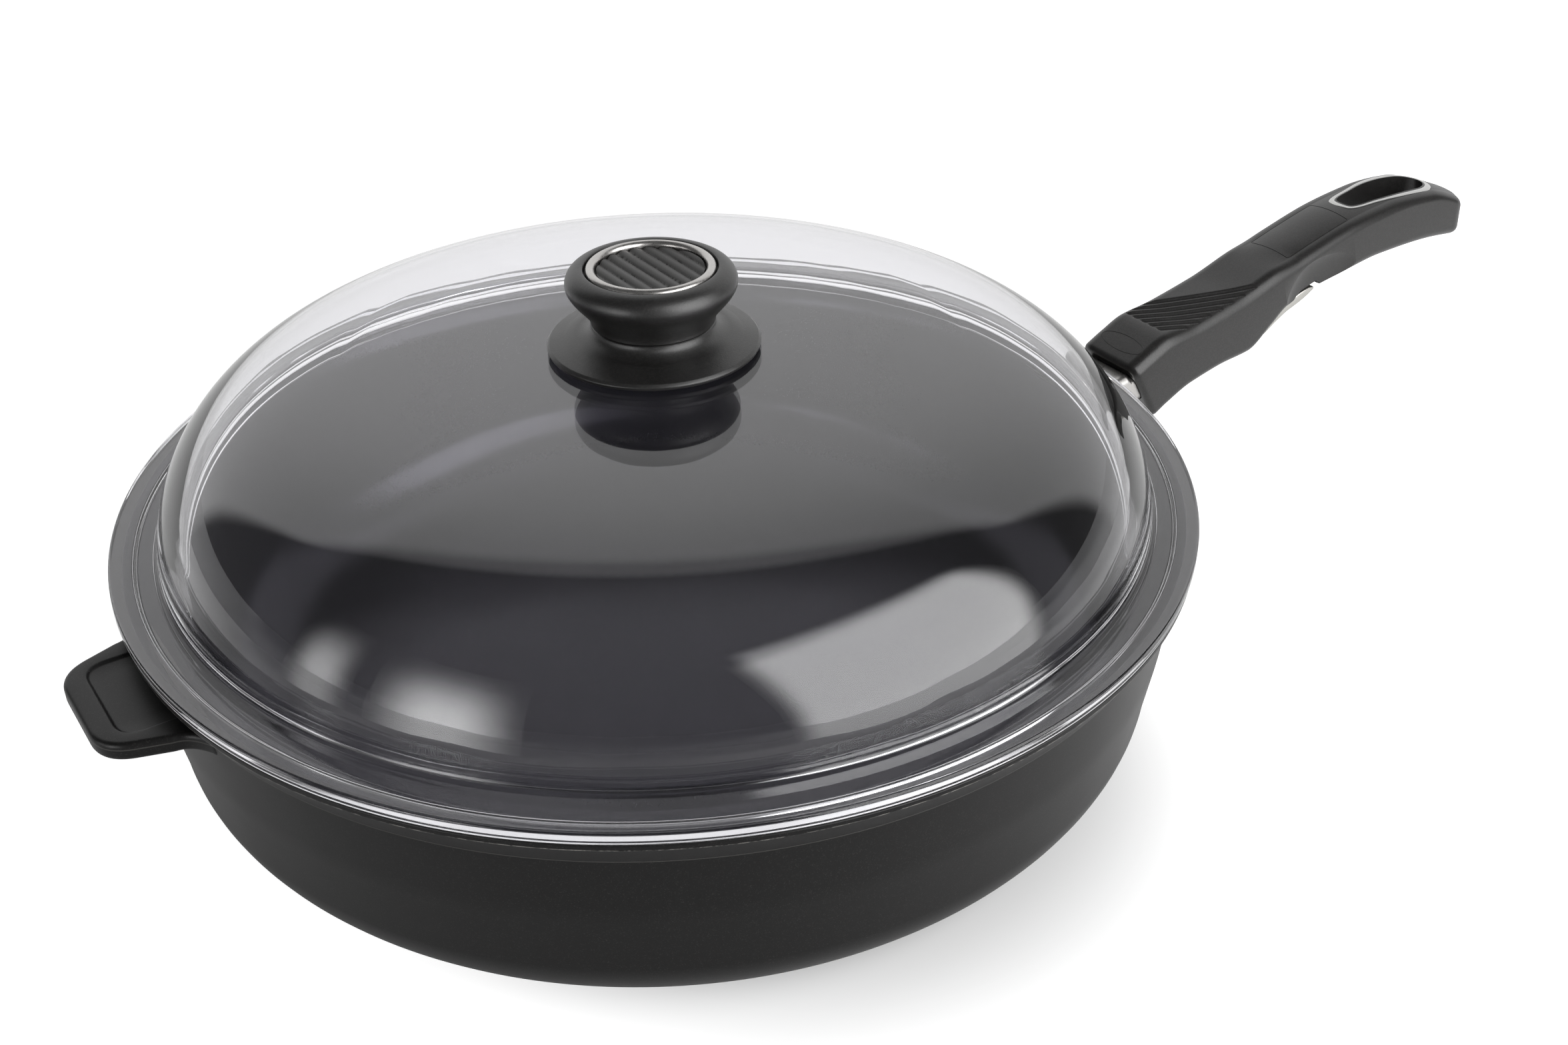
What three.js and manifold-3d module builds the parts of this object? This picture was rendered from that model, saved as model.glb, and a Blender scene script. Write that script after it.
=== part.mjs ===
// Deep frying pan with a glass lid and a pull-off handle.
// Millimetres, +Z up. The origin is the centre of the flat base, and the handle points along +X.
import * as THREE from 'three';
import { mergeVertices } from 'three/addons/utils/BufferGeometryUtils.js';
import Module from 'manifold-3d';

const wasm = await Module();
wasm.setup();

// Fits and fineness
const seatGap = 0.3;            // between pieces that rest on or sit in each other
const slideGap = 0.4;           // around what slides or turns
const past = 2;                 // how far a cutter runs past the face that it cuts
const panSteps = 60;            // facets round the pan and the glass
const knobSteps = 36;           // facets round the knob
const washerSteps = 24;         // facets round washers and seals
const pinSteps = 16;            // facets round pins and screws
const cornerSteps = 2;          // half the facets of a rounded corner

// Pan casting
const mouthRadius = 160;        // inside of the lip, a 32 cm pan
const lipWidth = 3.6;           // inside to outside of the lip
const panHeight = 73.5;         // base to the lip's top face
const lipBand = 1.4;            // upright band of the lip
const flareHeight = 7.6;        // cone under the lip
const flareReach = 4.4;         // radius lost down the cone
const wallLean = 5;             // radius lost from the cone to the base fillet
const wallBelly = 0.6;          // how far the wall bows out between them
const castWall = 4.2;
const castFloor = 8;
const baseInset = 38.5;         // mouth to the edge of the flat that stands on the hob
const baseFillet = 25;          // height of the outer fillet
const floorFillet = 20;         // height of the inner fillet

// Ear opposite the handle
const earReach = 17.8;          // beyond the lip
const earRootHalf = 25.5;       // where the ear passes the lip
const earTipHalf = 19.6;
const earCorner = 10.5;
const earThick = 5.6;
const earDrop = 7;              // lip's top face to ear's top face
const earRootBlend = 8;         // hollow curve into the wall
const earPanelHalf = 17.8;      // shallow panel in the ear's top
const earPanelCorner = 5;
const earPanelDepth = 0.6;
const earPanelBorder = 6.7;     // panel to the ear's tip

// Bracket boss on the wall
const bossProud = 2.9;          // flat face beyond the outside of the lip
const bossWidth = 34;
const bossHeight = 27;
const bossCorner = 6;
const bossDraft = 4;            // growth of the boss towards the wall

// Stainless bracket, a foot plate and a box-section tongue
const tongueTilt = 10;          // degrees above level
const tongueHeight = 12;
const tongueWidth = 24;
const tongueCorner = 3.2;
const tongueWall = 1.8;
const tongueLength = 69;        // from the foot's front face
const bracketDrop = 24.3;       // lip's top face to the tongue's centre line at the foot
const footThick = 3;
const footBorder = 1.2;         // boss showing round the foot
const windowLength = 9;         // in the tongue's roof, for the catch
const windowWidth = 11;
const windowEnd = 4;            // from the window to the tongue's end

// Bracket screws
const screwRadius = 2;
const screwHead = 3.2;
const screwHeadHeight = 2.6;
const screwDepth = 8.5;         // into the boss
const screwSpread = 5.2;        // each side of the centre line

// Grip, drawn in the tongue's own directions: along it, and square to it
const gripStandoff = 25.5;      // foot to the grip's mouth, on the tongue's centre line
const gripHalfWidth = 14.5;
const gripTopRound = 5;
const gripUnderRound = 4;
const gripEndRound = 8;         // plan rounding of the tail
const tailSquareness = 2.4;
const tailSharpness = 0.75;     // 1 brings the tail to a point
const tongueEnd = tongueLength - gripStandoff;      // along the grip
const ringSetback = 73.9;       // tongue's end to the hanging ring
const ringLength = 50.6;
const ringFront = tongueEnd + ringSetback;
const ringTail = ringFront + ringLength;
const topEdge = {
  nose: [-3.8, 10.7], panel: [6, 13.6], ridge: [15.8, 15.7], dip: [30, 14.9], bay: [tongueEnd + 6.5, 15.4],
  rise: [tongueEnd + 26.5, 17.7], back: [ringFront - 25.4, 20.1], crest: [ringFront - 3.4, 21.3],
  ring: [ringFront + 18.6, 20.1], droop: [ringTail - 8, 15], tail: [ringTail + 12, 4],
};
const underEdge = {
  toe: [5.7, -15.6], sole: [13.8, -13], floor: [26, -10.9], mid: [tongueEnd - 3.5, -10.7],
  heel: [tongueEnd + 12.2, -11.8], slope: [tongueEnd + 24.2, -6.1], bay: [tongueEnd + 33.5, -0.9],
  notch: [tongueEnd + 49, 0.8], belly: [ringFront - 8.4, 0.5], waist: [ringFront + 4.3, 0],
  hollow: [ringFront + 19.6, -2.1], droop: [ringTail - 13, -5.6], tail: [ringTail + 10, -12.3],
};
const gripSections = 24;        // lofted sections up to the tail's rounding
const tailSections = 6;         // and round the tail
const mouthStep = 1.4;          // bevelled step round the grip's mouth
const mouthStepDepth = 2.2;

// Thumb ribs, slanting grooves across the top
const ribCount = 7;
const ribFirst = 28.3;          // where the first groove runs out at the near edge, along the grip
const ribPitch = 5.85;
const ribSlope = 0.7;           // sideways run for each millimetre along
const ribFar = 11;              // how far a groove reaches beyond the centre line
const ribDepth = 0.9;
const ribRadius = 2.3;

// Hanging hole and its ring
const ringHalfWidth = 10.8;
const ringBand = 3;
const ringDepth = 4;
const ringProud = 1;            // height of the band's crown
const ringSteps = 12;           // facets along each side of the ring
const ringSink = 0.75;          // taken off the grip's top line before the ring is laid on it
// One side of the ring's outline from nose to tail: share of its length and share of its half width
const ringOutline = [
  [0, 0], [0.006, 0.3], [0.03, 0.52], [0.11, 0.68], [0.26, 0.79], [0.37, 0.89], [0.5, 0.965], [0.71, 1],
  [0.86, 0.91], [0.96, 0.56], [1, 0],
];

// Release lever, its pin and the catch
const leverHalfWidth = 9.5;
const paddleHalfWidth = 11.8;
const paddleSetback = 8;        // pivot to the front of the wide paddle
const paddleRoom = 2;           // in front of the paddle, which swings forward as it drops
const leverThick = 2.4;
const leverSpare = 0.6;         // extra room round the lever in its pocket
const leverEdge = {             // lower edge of the lever, along the grip and square to it
  heel: [tongueEnd + 18.5, -9.6], rise: [tongueEnd + 30.1, -4], knee: [tongueEnd + 34.8, -1.6],
  flat: [tongueEnd + 40.1, -1.5], tip: [tongueEnd + 49.4, 0],
};
const noseClear = 3.1;          // tongue's end to the lever's nose
const noseReach = 11.4;         // nose to the pivot, along the grip
const pivotUp = -3.4;
const pinRadius = 2;
const pinCover = 2;             // grip left over the pin's blind end
const eyeWall = 1.9;
const noseThick = 2;
const leafThick = 0.8;
const leafWidth = 9;
const leafFront = 8;            // along the grip
const leafLift = 3.2;           // room for the leaf to bend up
const toothLength = 6;
const toothBite = 2;            // how deep the tooth sits in the window
const slotLength = 7;           // grip over the leaf's fixed end
const scallopLength = 17.3;     // half length of the finger hollow
const scallopDepth = 2.6;
const scallopHeight = 16;
const scallopUp = 1;            // middle of the hollow above the tongue's centre line
const notchLength = 3;          // behind the paddle's tip
const notchFront = 13;          // how far the opening beside the paddle runs in front of its tip

// Glass lid
const glassOverhang = 0.4;      // glass beyond the outside of the lip
const glassThick = 4;
const domeInset = 10;           // mouth to the outside of the dome at the flange
const domeHeight = 44.8;        // flange's top face to the crown
const domeSquareness = 6.3;
const domeRoundness = 1.7;
const domeSteps = 11;           // facets from the crown to the foot
const stepDepth = 3;            // locating step below the flange
const stepInset = 2.8;          // room between the mouth and the locating step
const stepWidth = 5.6;
const glassEdgeRound = 1.2;
const glassHole = 4;

// Knob
const sealRadius = 14;
const sealThick = 1;
const flangeRadius = 31.8;
const flangeEdge = 1.9;
const flangeSkirt = 0.8;        // how far the edge hangs below the seat
const collarRadius = 18.3;
const collarHeight = 6.6;       // seat to the seam
const flangeSlope = 3;          // rise of the flange before the collar sweeps up
const waistRadius = 18.5;
const capRadius = 25.3;
const capHeight = 17.4;         // seam to the top
const capWidest = 12.2;         // seam to the widest ring
const capFlankSteps = 6;        // facets up the flank
const capLipDrop = 0.6;         // cap's lip below the ring's crown
const trimOuter = 19.15;
const trimBand = 2.85;
const trimHeight = 2.9;
const trimCrown = 0.4;          // crown's rise as a share of the band
const trimSteps = 4;            // facets over the crown
const trimStop = 0.2;           // step that the insert sits inside
const trimRecess = 0.5;         // channel cut around the ring
const insertThick = 2.6;
const insertDrop = 1.4;         // below the ring's crown
const waveCount = 9;
const wavePitch = 4;
const waveHeight = 0.9;
const waveTurn = 1;             // degrees that the ribs turn from square to the handle
const bushRadius = 5.6;
const bushLength = 10;
const bushCap = 1.5;            // closed end of the bush
const boltRadius = 2.2;
const boltHead = 6.5;
const boltHeadHeight = 3;
const boltBite = 7.5;           // into the bush
const washerRadius = 11;
const washerThick = 1.5;
const lowerSealRadius = 12;
const lowerSealThick = 1;

const tilt = THREE.MathUtils.degToRad(tongueTilt);
const rimRadius = mouthRadius + lipWidth;
const baseRadius = mouthRadius - baseInset;
const bossFace = rimRadius + bossProud;
const footFace = bossFace + seatGap + footThick;
const tongueRoot = panHeight - bracketDrop;
const glassRadius = rimRadius + glassOverhang;
const domeFoot = mouthRadius - domeInset;
const stepOuter = mouthRadius - stepInset;
const material = (color, roughness, metalness) => new THREE.MeshStandardMaterial({ color, roughness, metalness });
const castBlack = () => material(0x2b2b2c, 0.62, 0.35);
const steel = () => material(0xc9c9c6, 0.25, 1);
const phenolic = () => material(0x39393a, 0.6, 0);

// Solid helpers
function cleaned(geometry) {
  const bare = geometry.clone();
  bare.deleteAttribute('normal');
  bare.deleteAttribute('uv');
  const merged = mergeVertices(bare, 1e-3);
  const index = merged.index.array;
  const kept = [];
  for (let i = 0; i < index.length; i += 3) {
    const [a, b, c] = [index[i], index[i + 1], index[i + 2]];
    if (a !== b && b !== c && c !== a) kept.push(a, b, c);
  }
  const position = merged.attributes.position;
  const corner = [new THREE.Vector3(), new THREE.Vector3(), new THREE.Vector3()];
  let volume = 0;
  for (let i = 0; i < kept.length; i += 3) {
    corner.forEach((point, k) => point.fromBufferAttribute(position, kept[i + k]));
    volume += corner[0].dot(corner[1].cross(corner[2]));
  }
  if (volume < 0) kept.reverse();
  merged.setIndex(kept);
  return merged;
}

function solid(geometry) {
  const closed = cleaned(geometry);
  return new wasm.Manifold(new wasm.Mesh({
    numProp: 3,
    vertProperties: new Float32Array(closed.attributes.position.array),
    triVerts: new Uint32Array(closed.index.array),
  }));
}

function fromSolid(manifold) {
  const mesh = manifold.getMesh();
  const geometry = new THREE.BufferGeometry();
  geometry.setAttribute('position', new THREE.BufferAttribute(new Float32Array(mesh.vertProperties), 3));
  geometry.setIndex(new THREE.BufferAttribute(new Uint32Array(mesh.triVerts), 1));
  return geometry;
}

function piece(name, geometry, look) {
  const mesh = new THREE.Mesh(geometry, look);
  mesh.name = name;
  return mesh;
}

// A profile of [radius, height] pairs turned about the Z axis, closed on itself unless it ends on the axis
function turned(profile, steps) {
  const points = profile.map(([radius, height]) => new THREE.Vector2(radius, height));
  if (profile[0][0] > 0) points.push(points[0].clone());
  const geometry = new THREE.LatheGeometry(points, steps);
  geometry.rotateX(Math.PI / 2);
  return cleaned(geometry);
}

// Points on a quarter ellipse from one corner to the other, each a [radius, height] pair
function quarter(from, to, steps, startsUpright) {
  const points = [];
  for (let i = 1; i <= steps; i += 1) {
    const angle = (i / steps) * Math.PI / 2;
    const [slow, fast] = [1 - Math.cos(angle), Math.sin(angle)];
    const [across, up] = startsUpright ? [slow, fast] : [fast, slow];
    points.push([from[0] + (to[0] - from[0]) * across, from[1] + (to[1] - from[1]) * up]);
  }
  return points;
}

function roundedRect(width, height, corner) {
  const [x, y] = [width / 2, height / 2];
  const shape = new THREE.Shape();
  shape.moveTo(x, -y + corner);
  shape.absarc(x - corner, y - corner, corner, 0, Math.PI / 2);
  shape.absarc(-x + corner, y - corner, corner, Math.PI / 2, Math.PI);
  shape.absarc(-x + corner, -y + corner, corner, Math.PI, Math.PI * 1.5);
  shape.absarc(x - corner, -y + corner, corner, Math.PI * 1.5, Math.PI * 2);
  return shape;
}

// A shape drawn across (Y) and up (Z), pushed along X from start by length
function pushedAlong(shape, start, length) {
  const settings = { depth: length, bevelEnabled: false, curveSegments: cornerSteps };
  const geometry = new THREE.ExtrudeGeometry(shape, settings);
  geometry.rotateY(Math.PI / 2);
  geometry.rotateX(Math.PI / 2);
  geometry.translate(start, 0, 0);
  return geometry;
}

// A shape drawn along X and up Z, with its thickness centred on Y
function pushedAcross(shape, width, curveSegments = 6) {
  const geometry = new THREE.ExtrudeGeometry(shape, { depth: width, bevelEnabled: false, curveSegments });
  geometry.rotateX(Math.PI / 2);
  geometry.translate(0, width / 2, 0);
  return geometry;
}

function block(along, across, up) {
  const geometry = new THREE.BoxGeometry(along[1] - along[0], across[1] - across[0], up[1] - up[0]);
  geometry.translate((along[0] + along[1]) / 2, (across[0] + across[1]) / 2, (up[0] + up[1]) / 2);
  return geometry;
}

function crossRod(radius, from, to, along, up) {
  const geometry = new THREE.CylinderGeometry(radius, radius, to - from, pinSteps);
  geometry.translate(along, (from + to) / 2, up);
  return geometry;
}

// Rings of equal point counts joined into one skin: capped at both ends, or joined end to end
function skin(rings, endless) {
  const count = rings[0].length;
  const points = rings.flat();
  const index = [];
  const last = endless ? rings.length : rings.length - 1;
  for (let i = 0; i < last; i += 1) {
    const here = i * count;
    const next = ((i + 1) % rings.length) * count;
    for (let k = 0; k < count; k += 1) {
      const after = (k + 1) % count;
      index.push(here + k, next + k, next + after, here + k, next + after, here + after);
    }
  }
  if (!endless) {
    [0, rings.length - 1].forEach((end) => {
      const middle = new THREE.Vector3();
      rings[end].forEach((point) => middle.addScaledVector(point, 1 / count));
      points.push(middle);
      for (let k = 0; k < count; k += 1) {
        const pair = [end * count + k, end * count + (k + 1) % count];
        if (end > 0) pair.reverse();
        index.push(points.length - 1, ...pair);
      }
    });
  }
  const geometry = new THREE.BufferGeometry().setFromPoints(points);
  geometry.setIndex(index);
  return geometry;
}

// Height of an edge at a distance along it, on a curve that never overshoots its points
function follow(edge, along) {
  const points = Object.values(edge);
  const slopes = points.slice(1).map((point, i) => (point[1] - points[i][1]) / (point[0] - points[i][0]));
  const bend = points.map((point, i) => {
    if (i === 0) return slopes[0];
    if (i === slopes.length) return slopes[i - 1];
    const product = slopes[i - 1] * slopes[i];
    return product > 0 ? (2 * product) / (slopes[i - 1] + slopes[i]) : 0;
  });
  const found = points.findIndex((point) => along < point[0]);
  const i = found < 0 ? points.length - 2 : Math.max(found - 1, 0);
  const span = points[i + 1][0] - points[i][0];
  const t = THREE.MathUtils.clamp((along - points[i][0]) / span, 0, 1);
  const [t2, t3] = [t * t, t * t * t];
  return points[i][1] * (2 * t3 - 3 * t2 + 1) + points[i + 1][1] * (3 * t2 - 2 * t3)
    + span * (bend[i] * (t3 - 2 * t2 + t) + bend[i + 1] * (t3 - t2));
}

// Pan body
const flareTop = panHeight - lipBand;
const flareFoot = flareTop - flareHeight;
const wallTop = rimRadius - flareReach;
const wallFoot = wallTop - wallLean;

function panBody() {
  const bellyHeight = (flareFoot + baseFillet) / 2;
  const bellyRadius = (wallTop + wallFoot) / 2 + wallBelly;
  const outside = [
    [0, 0], [baseRadius, 0],
    ...quarter([baseRadius, 0], [wallFoot, baseFillet], 6, false),
    [bellyRadius, bellyHeight], [wallTop, flareFoot], [rimRadius, flareTop], [rimRadius, panHeight], [0, panHeight],
  ];
  const innerFoot = castFloor + floorFillet;
  const floorRadius = baseRadius + castWall / 2;
  const inside = [
    [0, castFloor], [floorRadius, castFloor],
    ...quarter([floorRadius, castFloor], [wallFoot - castWall, innerFoot], 5, false),
    [bellyRadius - castWall, bellyHeight], [wallTop - castWall, flareFoot],
    [mouthRadius, panHeight], [mouthRadius, panHeight + past], [0, panHeight + past],
  ];
  const body = solid(turned(outside, panSteps)).add(earSolid()).add(bossSolid());
  let cast = body.subtract(solid(turned(inside, panSteps))).subtract(earPanel());
  [-screwSpread, screwSpread].forEach((across) => {
    const hole = new THREE.CylinderGeometry(screwRadius + seatGap, screwRadius + seatGap,
      screwDepth + seatGap + past, pinSteps);
    hole.rotateZ(Math.PI / 2);
    hole.translate(bossFace - screwDepth - seatGap + (screwDepth + seatGap + past) / 2, across, tongueRoot);
    cast = cast.subtract(solid(hole));
  });
  return piece('pan_body', fromSolid(cast), castBlack());
}

// Plan of the ear: its sides draw in towards a tip with round corners and sweep out into the wall
function earPlan() {
  const tip = -(rimRadius + earReach);
  const lean = (earRootHalf - earTipHalf) / earReach;
  const cornerHalf = earTipHalf + lean * earCorner;
  const blendHalf = earRootHalf + earRootBlend;
  const blendFoot = -Math.sqrt(wallTop ** 2 - blendHalf ** 2);
  const shape = new THREE.Shape();
  shape.moveTo(blendFoot + castWall * 2, -blendHalf);
  shape.lineTo(blendFoot, -blendHalf);
  shape.quadraticCurveTo(-wallTop, -earRootHalf - lean, -rimRadius - lean, -earRootHalf);
  shape.lineTo(tip + earCorner, -cornerHalf);
  shape.quadraticCurveTo(tip, -earTipHalf, tip, -earTipHalf + earCorner);
  shape.lineTo(tip, earTipHalf - earCorner);
  shape.quadraticCurveTo(tip, earTipHalf, tip + earCorner, cornerHalf);
  shape.lineTo(-rimRadius - lean, earRootHalf);
  shape.quadraticCurveTo(-wallTop, earRootHalf + lean, blendFoot, blendHalf);
  shape.lineTo(blendFoot + castWall * 2, blendHalf);
  shape.closePath();
  return shape;
}

function earSolid() {
  const round = earThick / 5;
  const plate = new THREE.ExtrudeGeometry(earPlan(), {
    depth: earThick - 2 * round, bevelEnabled: true, bevelThickness: round, bevelSize: round, bevelOffset: -round,
    bevelSegments: 2, curveSegments: 5,
  });
  plate.translate(0, 0, panHeight - earDrop - earThick + round);
  return solid(plate);
}

// Shallow panel in the ear's top, from the wall to a border at the tip
function earPanel() {
  const earTop = panHeight - earDrop;
  const wallAtEar = wallTop + flareReach * Math.max(0, earTop - flareFoot) / flareHeight;
  const tip = rimRadius + earReach - earPanelBorder;
  const outline = roundedRect(2 * (tip - mouthRadius + castWall), 2 * earPanelHalf, earPanelCorner);
  const panel = new THREE.ExtrudeGeometry(outline, {
    depth: earPanelDepth + past, bevelEnabled: false, curveSegments: 5,
  });
  panel.translate(-mouthRadius + castWall, 0, earTop - earPanelDepth);
  const clearOfWall = turned([[0, 0], [wallAtEar, 0], [wallAtEar, panHeight], [0, panHeight]], panSteps);
  return solid(panel).subtract(solid(clearOfWall));
}

function bossSolid() {
  const reach = [wallFoot - castWall / 2, bossFace - bossCorner / 2, bossFace];
  const growth = [bossDraft, 0, -bossCorner / 3];
  const rings = reach.map((along, i) => {
    const outline = roundedRect(bossWidth + growth[i], bossHeight + growth[i], bossCorner);
    const points = outline.extractPoints(cornerSteps).shape;
    return points.map((point) => new THREE.Vector3(along, point.x, tongueRoot + point.y));
  });
  return solid(skin(rings, false));
}

// Bracket in the pan's frame
function tongueFrame() {
  const frame = new THREE.Matrix4().makeRotationY(-tilt);
  return frame.setPosition(footFace, 0, tongueRoot);
}

function handleBracket() {
  const bossFlat = bossCorner / 3 + footBorder;
  const foot = roundedRect(bossWidth - 2 * bossFlat, bossHeight - 2 * bossFlat, bossCorner - footBorder);
  let body = solid(pushedAlong(foot, 0, footThick).translate(bossFace + seatGap, 0, tongueRoot));
  const buried = footThick / 2;
  const outer = roundedRect(tongueWidth, tongueHeight, tongueCorner);
  const tube = pushedAlong(outer, -buried, tongueLength + buried);
  body = body.add(solid(tube.applyMatrix4(tongueFrame())));
  const inner = roundedRect(tongueWidth - 2 * tongueWall, tongueHeight - 2 * tongueWall, tongueCorner - tongueWall);
  const bore = pushedAlong(inner, -tongueHeight, tongueLength + tongueHeight + past);
  const beyondFoot = block([footFace, footFace + 2 * tongueLength], [-tongueWidth, tongueWidth], [0, 2 * tongueRoot]);
  body = body.subtract(solid(bore.applyMatrix4(tongueFrame())).intersect(solid(beyondFoot)));
  const windowBack = tongueLength - windowEnd;
  const window = block([windowBack - windowLength, windowBack], [-windowWidth / 2, windowWidth / 2],
    [tongueHeight / 4, tongueHeight / 2 + past]);
  body = body.subtract(solid(window.applyMatrix4(tongueFrame())));
  [-screwSpread, screwSpread].forEach((across) => {
    const hole = new THREE.CylinderGeometry(screwRadius + seatGap, screwRadius + seatGap,
      footThick + 2 * past, pinSteps);
    hole.rotateZ(Math.PI / 2);
    hole.translate(footFace - footThick / 2, across, tongueRoot);
    body = body.subtract(solid(hole));
  });
  return piece('handle_bracket', fromSolid(body), steel());
}

function bracketScrew(name, across) {
  const tip = bossFace - screwDepth - footFace;
  const headFoot = seatGap;
  const profile = [
    [0, tip], [screwRadius * 0.7, tip], [screwRadius, tip + screwRadius * 0.4], [screwRadius, headFoot],
    [screwHead, headFoot], [screwHead, headFoot + screwHeadHeight * 0.6],
    [screwHead * 0.6, headFoot + screwHeadHeight], [0, headFoot + screwHeadHeight],
  ];
  const geometry = turned(profile, pinSteps);
  geometry.rotateY(Math.PI / 2);
  geometry.translate(footFace, across, tongueRoot);
  return piece(name, geometry, steel());
}

// Grip
const tailStart = topEdge.tail[0] - gripEndRound;
const tailShare = (tailStart - topEdge.nose[0]) / (topEdge.tail[0] - topEdge.nose[0]);

function gripSection(share) {
  const topAlong = THREE.MathUtils.lerp(topEdge.nose[0], topEdge.tail[0], share);
  const underAlong = THREE.MathUtils.lerp(underEdge.toe[0], underEdge.tail[0], share);
  const intoRound = Math.max(0, (topAlong - tailStart) / gripEndRound);
  const half = gripHalfWidth * Math.pow(1 - tailSharpness * Math.pow(intoRound, tailSquareness), 1 / tailSquareness);
  const top = new THREE.Vector3(topAlong, 0, follow(topEdge, topAlong));
  const under = new THREE.Vector3(underAlong, 0, follow(underEdge, underAlong));
  const up = top.clone().sub(under);
  const height = up.length();
  up.normalize();
  const topRound = Math.min(gripTopRound, half * 0.9);
  const underRound = Math.min(gripUnderRound, half * 0.9);
  const shape = new THREE.Shape();
  shape.moveTo(half, underRound);
  shape.absarc(half - topRound, height - topRound, topRound, 0, Math.PI / 2);
  shape.absarc(-half + topRound, height - topRound, topRound, Math.PI / 2, Math.PI);
  shape.absarc(-half + underRound, underRound, underRound, Math.PI, Math.PI * 1.5);
  shape.absarc(half - underRound, underRound, underRound, Math.PI * 1.5, Math.PI * 2);
  const outline = shape.extractPoints(cornerSteps).shape;
  return outline.map((point) => under.clone().addScaledVector(up, point.y).add(new THREE.Vector3(0, point.x, 0)));
}

// Outline of the hanging ring: a blunt nose that widens towards a rounded tail
function ringPath(inset) {
  const length = ringLength - 2 * inset;
  const half = ringHalfWidth - inset;
  const controls = ringOutline.map(([share, width]) => (
    new THREE.Vector2(ringFront + inset + share * length, -width * half)
  ));
  const side = new THREE.SplineCurve(controls).getPoints(ringSteps);
  const mirrored = side.slice(1, -1).reverse().map((point) => new THREE.Vector2(point.x, -point.y));
  return [...side, ...mirrored];
}

// Rounded band that lies on the grip's top, with spare round it when it cuts its own seat
function ringBandSkin(spare) {
  const outer = ringPath(-spare);
  const inner = ringPath(ringBand + spare);
  const rings = outer.map((point, i) => {
    const opposite = inner[i];
    const outTop = follow(topEdge, point.x) - ringSink;
    const inTop = follow(topEdge, opposite.x) - ringSink;
    const at = (share, level) => new THREE.Vector3(
      THREE.MathUtils.lerp(point.x, opposite.x, share),
      THREE.MathUtils.lerp(point.y, opposite.y, share),
      THREE.MathUtils.lerp(outTop, inTop, share) + level,
    );
    const crown = ringProud + (spare > 0 ? past : 0);
    const foot = ringProud - ringDepth - spare;
    return [at(0, foot), at(0, crown * 0.4), at(0.3, crown), at(0.7, crown), at(1, crown * 0.4), at(1, foot)];
  });
  return skin(rings, true);
}

function thumbGroove(order) {
  const runOut = ribFirst + order * ribPitch;
  const start = Math.max(topEdge.ridge[0], runOut - (gripHalfWidth + ribFar) / ribSlope);
  const points = [0, 0.25, 0.5, 0.75, 1].map((share) => {
    const along = THREE.MathUtils.lerp(start, runOut + past, share);
    const across = ribSlope * (runOut - along) - gripHalfWidth;
    const edge = Math.max(0, Math.abs(across) - (gripHalfWidth - gripTopRound));
    const drop = gripTopRound - Math.sqrt(Math.max(0, gripTopRound ** 2 - Math.min(edge, gripTopRound) ** 2));
    return new THREE.Vector3(along, across, follow(topEdge, along) - drop + ribRadius - ribDepth);
  });
  const path = new THREE.CatmullRomCurve3(points);
  const round = new THREE.Shape().absarc(0, 0, ribRadius, 0, Math.PI * 2);
  return new THREE.ExtrudeGeometry(round, { steps: 5, extrudePath: path, curveSegments: 4, bevelEnabled: false });
}

const noseAlong = tongueEnd + noseClear;
const pivotAlong = noseAlong + noseReach;
const paddleFront = pivotAlong + paddleSetback;
const eyeRadius = pinRadius + slideGap + eyeWall;
const leafUnder = tongueHeight / 2 + slideGap + seatGap;
const [tipAlong, tipUp] = leverEdge.tip;
const leverRoom = slideGap + leverSpare;

function leverPocket() {
  const roof = leafUnder + leafThick + leafLift;
  const openFoot = underEdge.heel[1] - past;
  const shape = new THREE.Shape();
  shape.moveTo(tongueEnd, roof);
  shape.lineTo(pivotAlong, roof);
  shape.lineTo(pivotAlong + eyeRadius + leverRoom, pivotUp + eyeRadius);
  shape.lineTo(tipAlong + leverRoom, tipUp + leverThick + leverRoom);
  shape.lineTo(tipAlong + leverRoom, openFoot);
  shape.lineTo(pivotAlong - eyeRadius, openFoot);
  shape.lineTo(pivotAlong - eyeRadius - leverRoom, pivotUp - eyeRadius - leverRoom);
  shape.lineTo(tongueEnd, -tongueHeight / 2);
  shape.closePath();
  const wideHalf = paddleHalfWidth + slideGap;
  const behind = block([paddleFront - paddleRoom, 2 * tipAlong], [-wideHalf, wideHalf], [2 * openFoot, 2 * roof]);
  const wide = solid(pushedAcross(shape, 2 * wideHalf)).intersect(solid(behind));
  return solid(pushedAcross(shape, 2 * (leverHalfWidth + slideGap))).add(wide);
}

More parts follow.
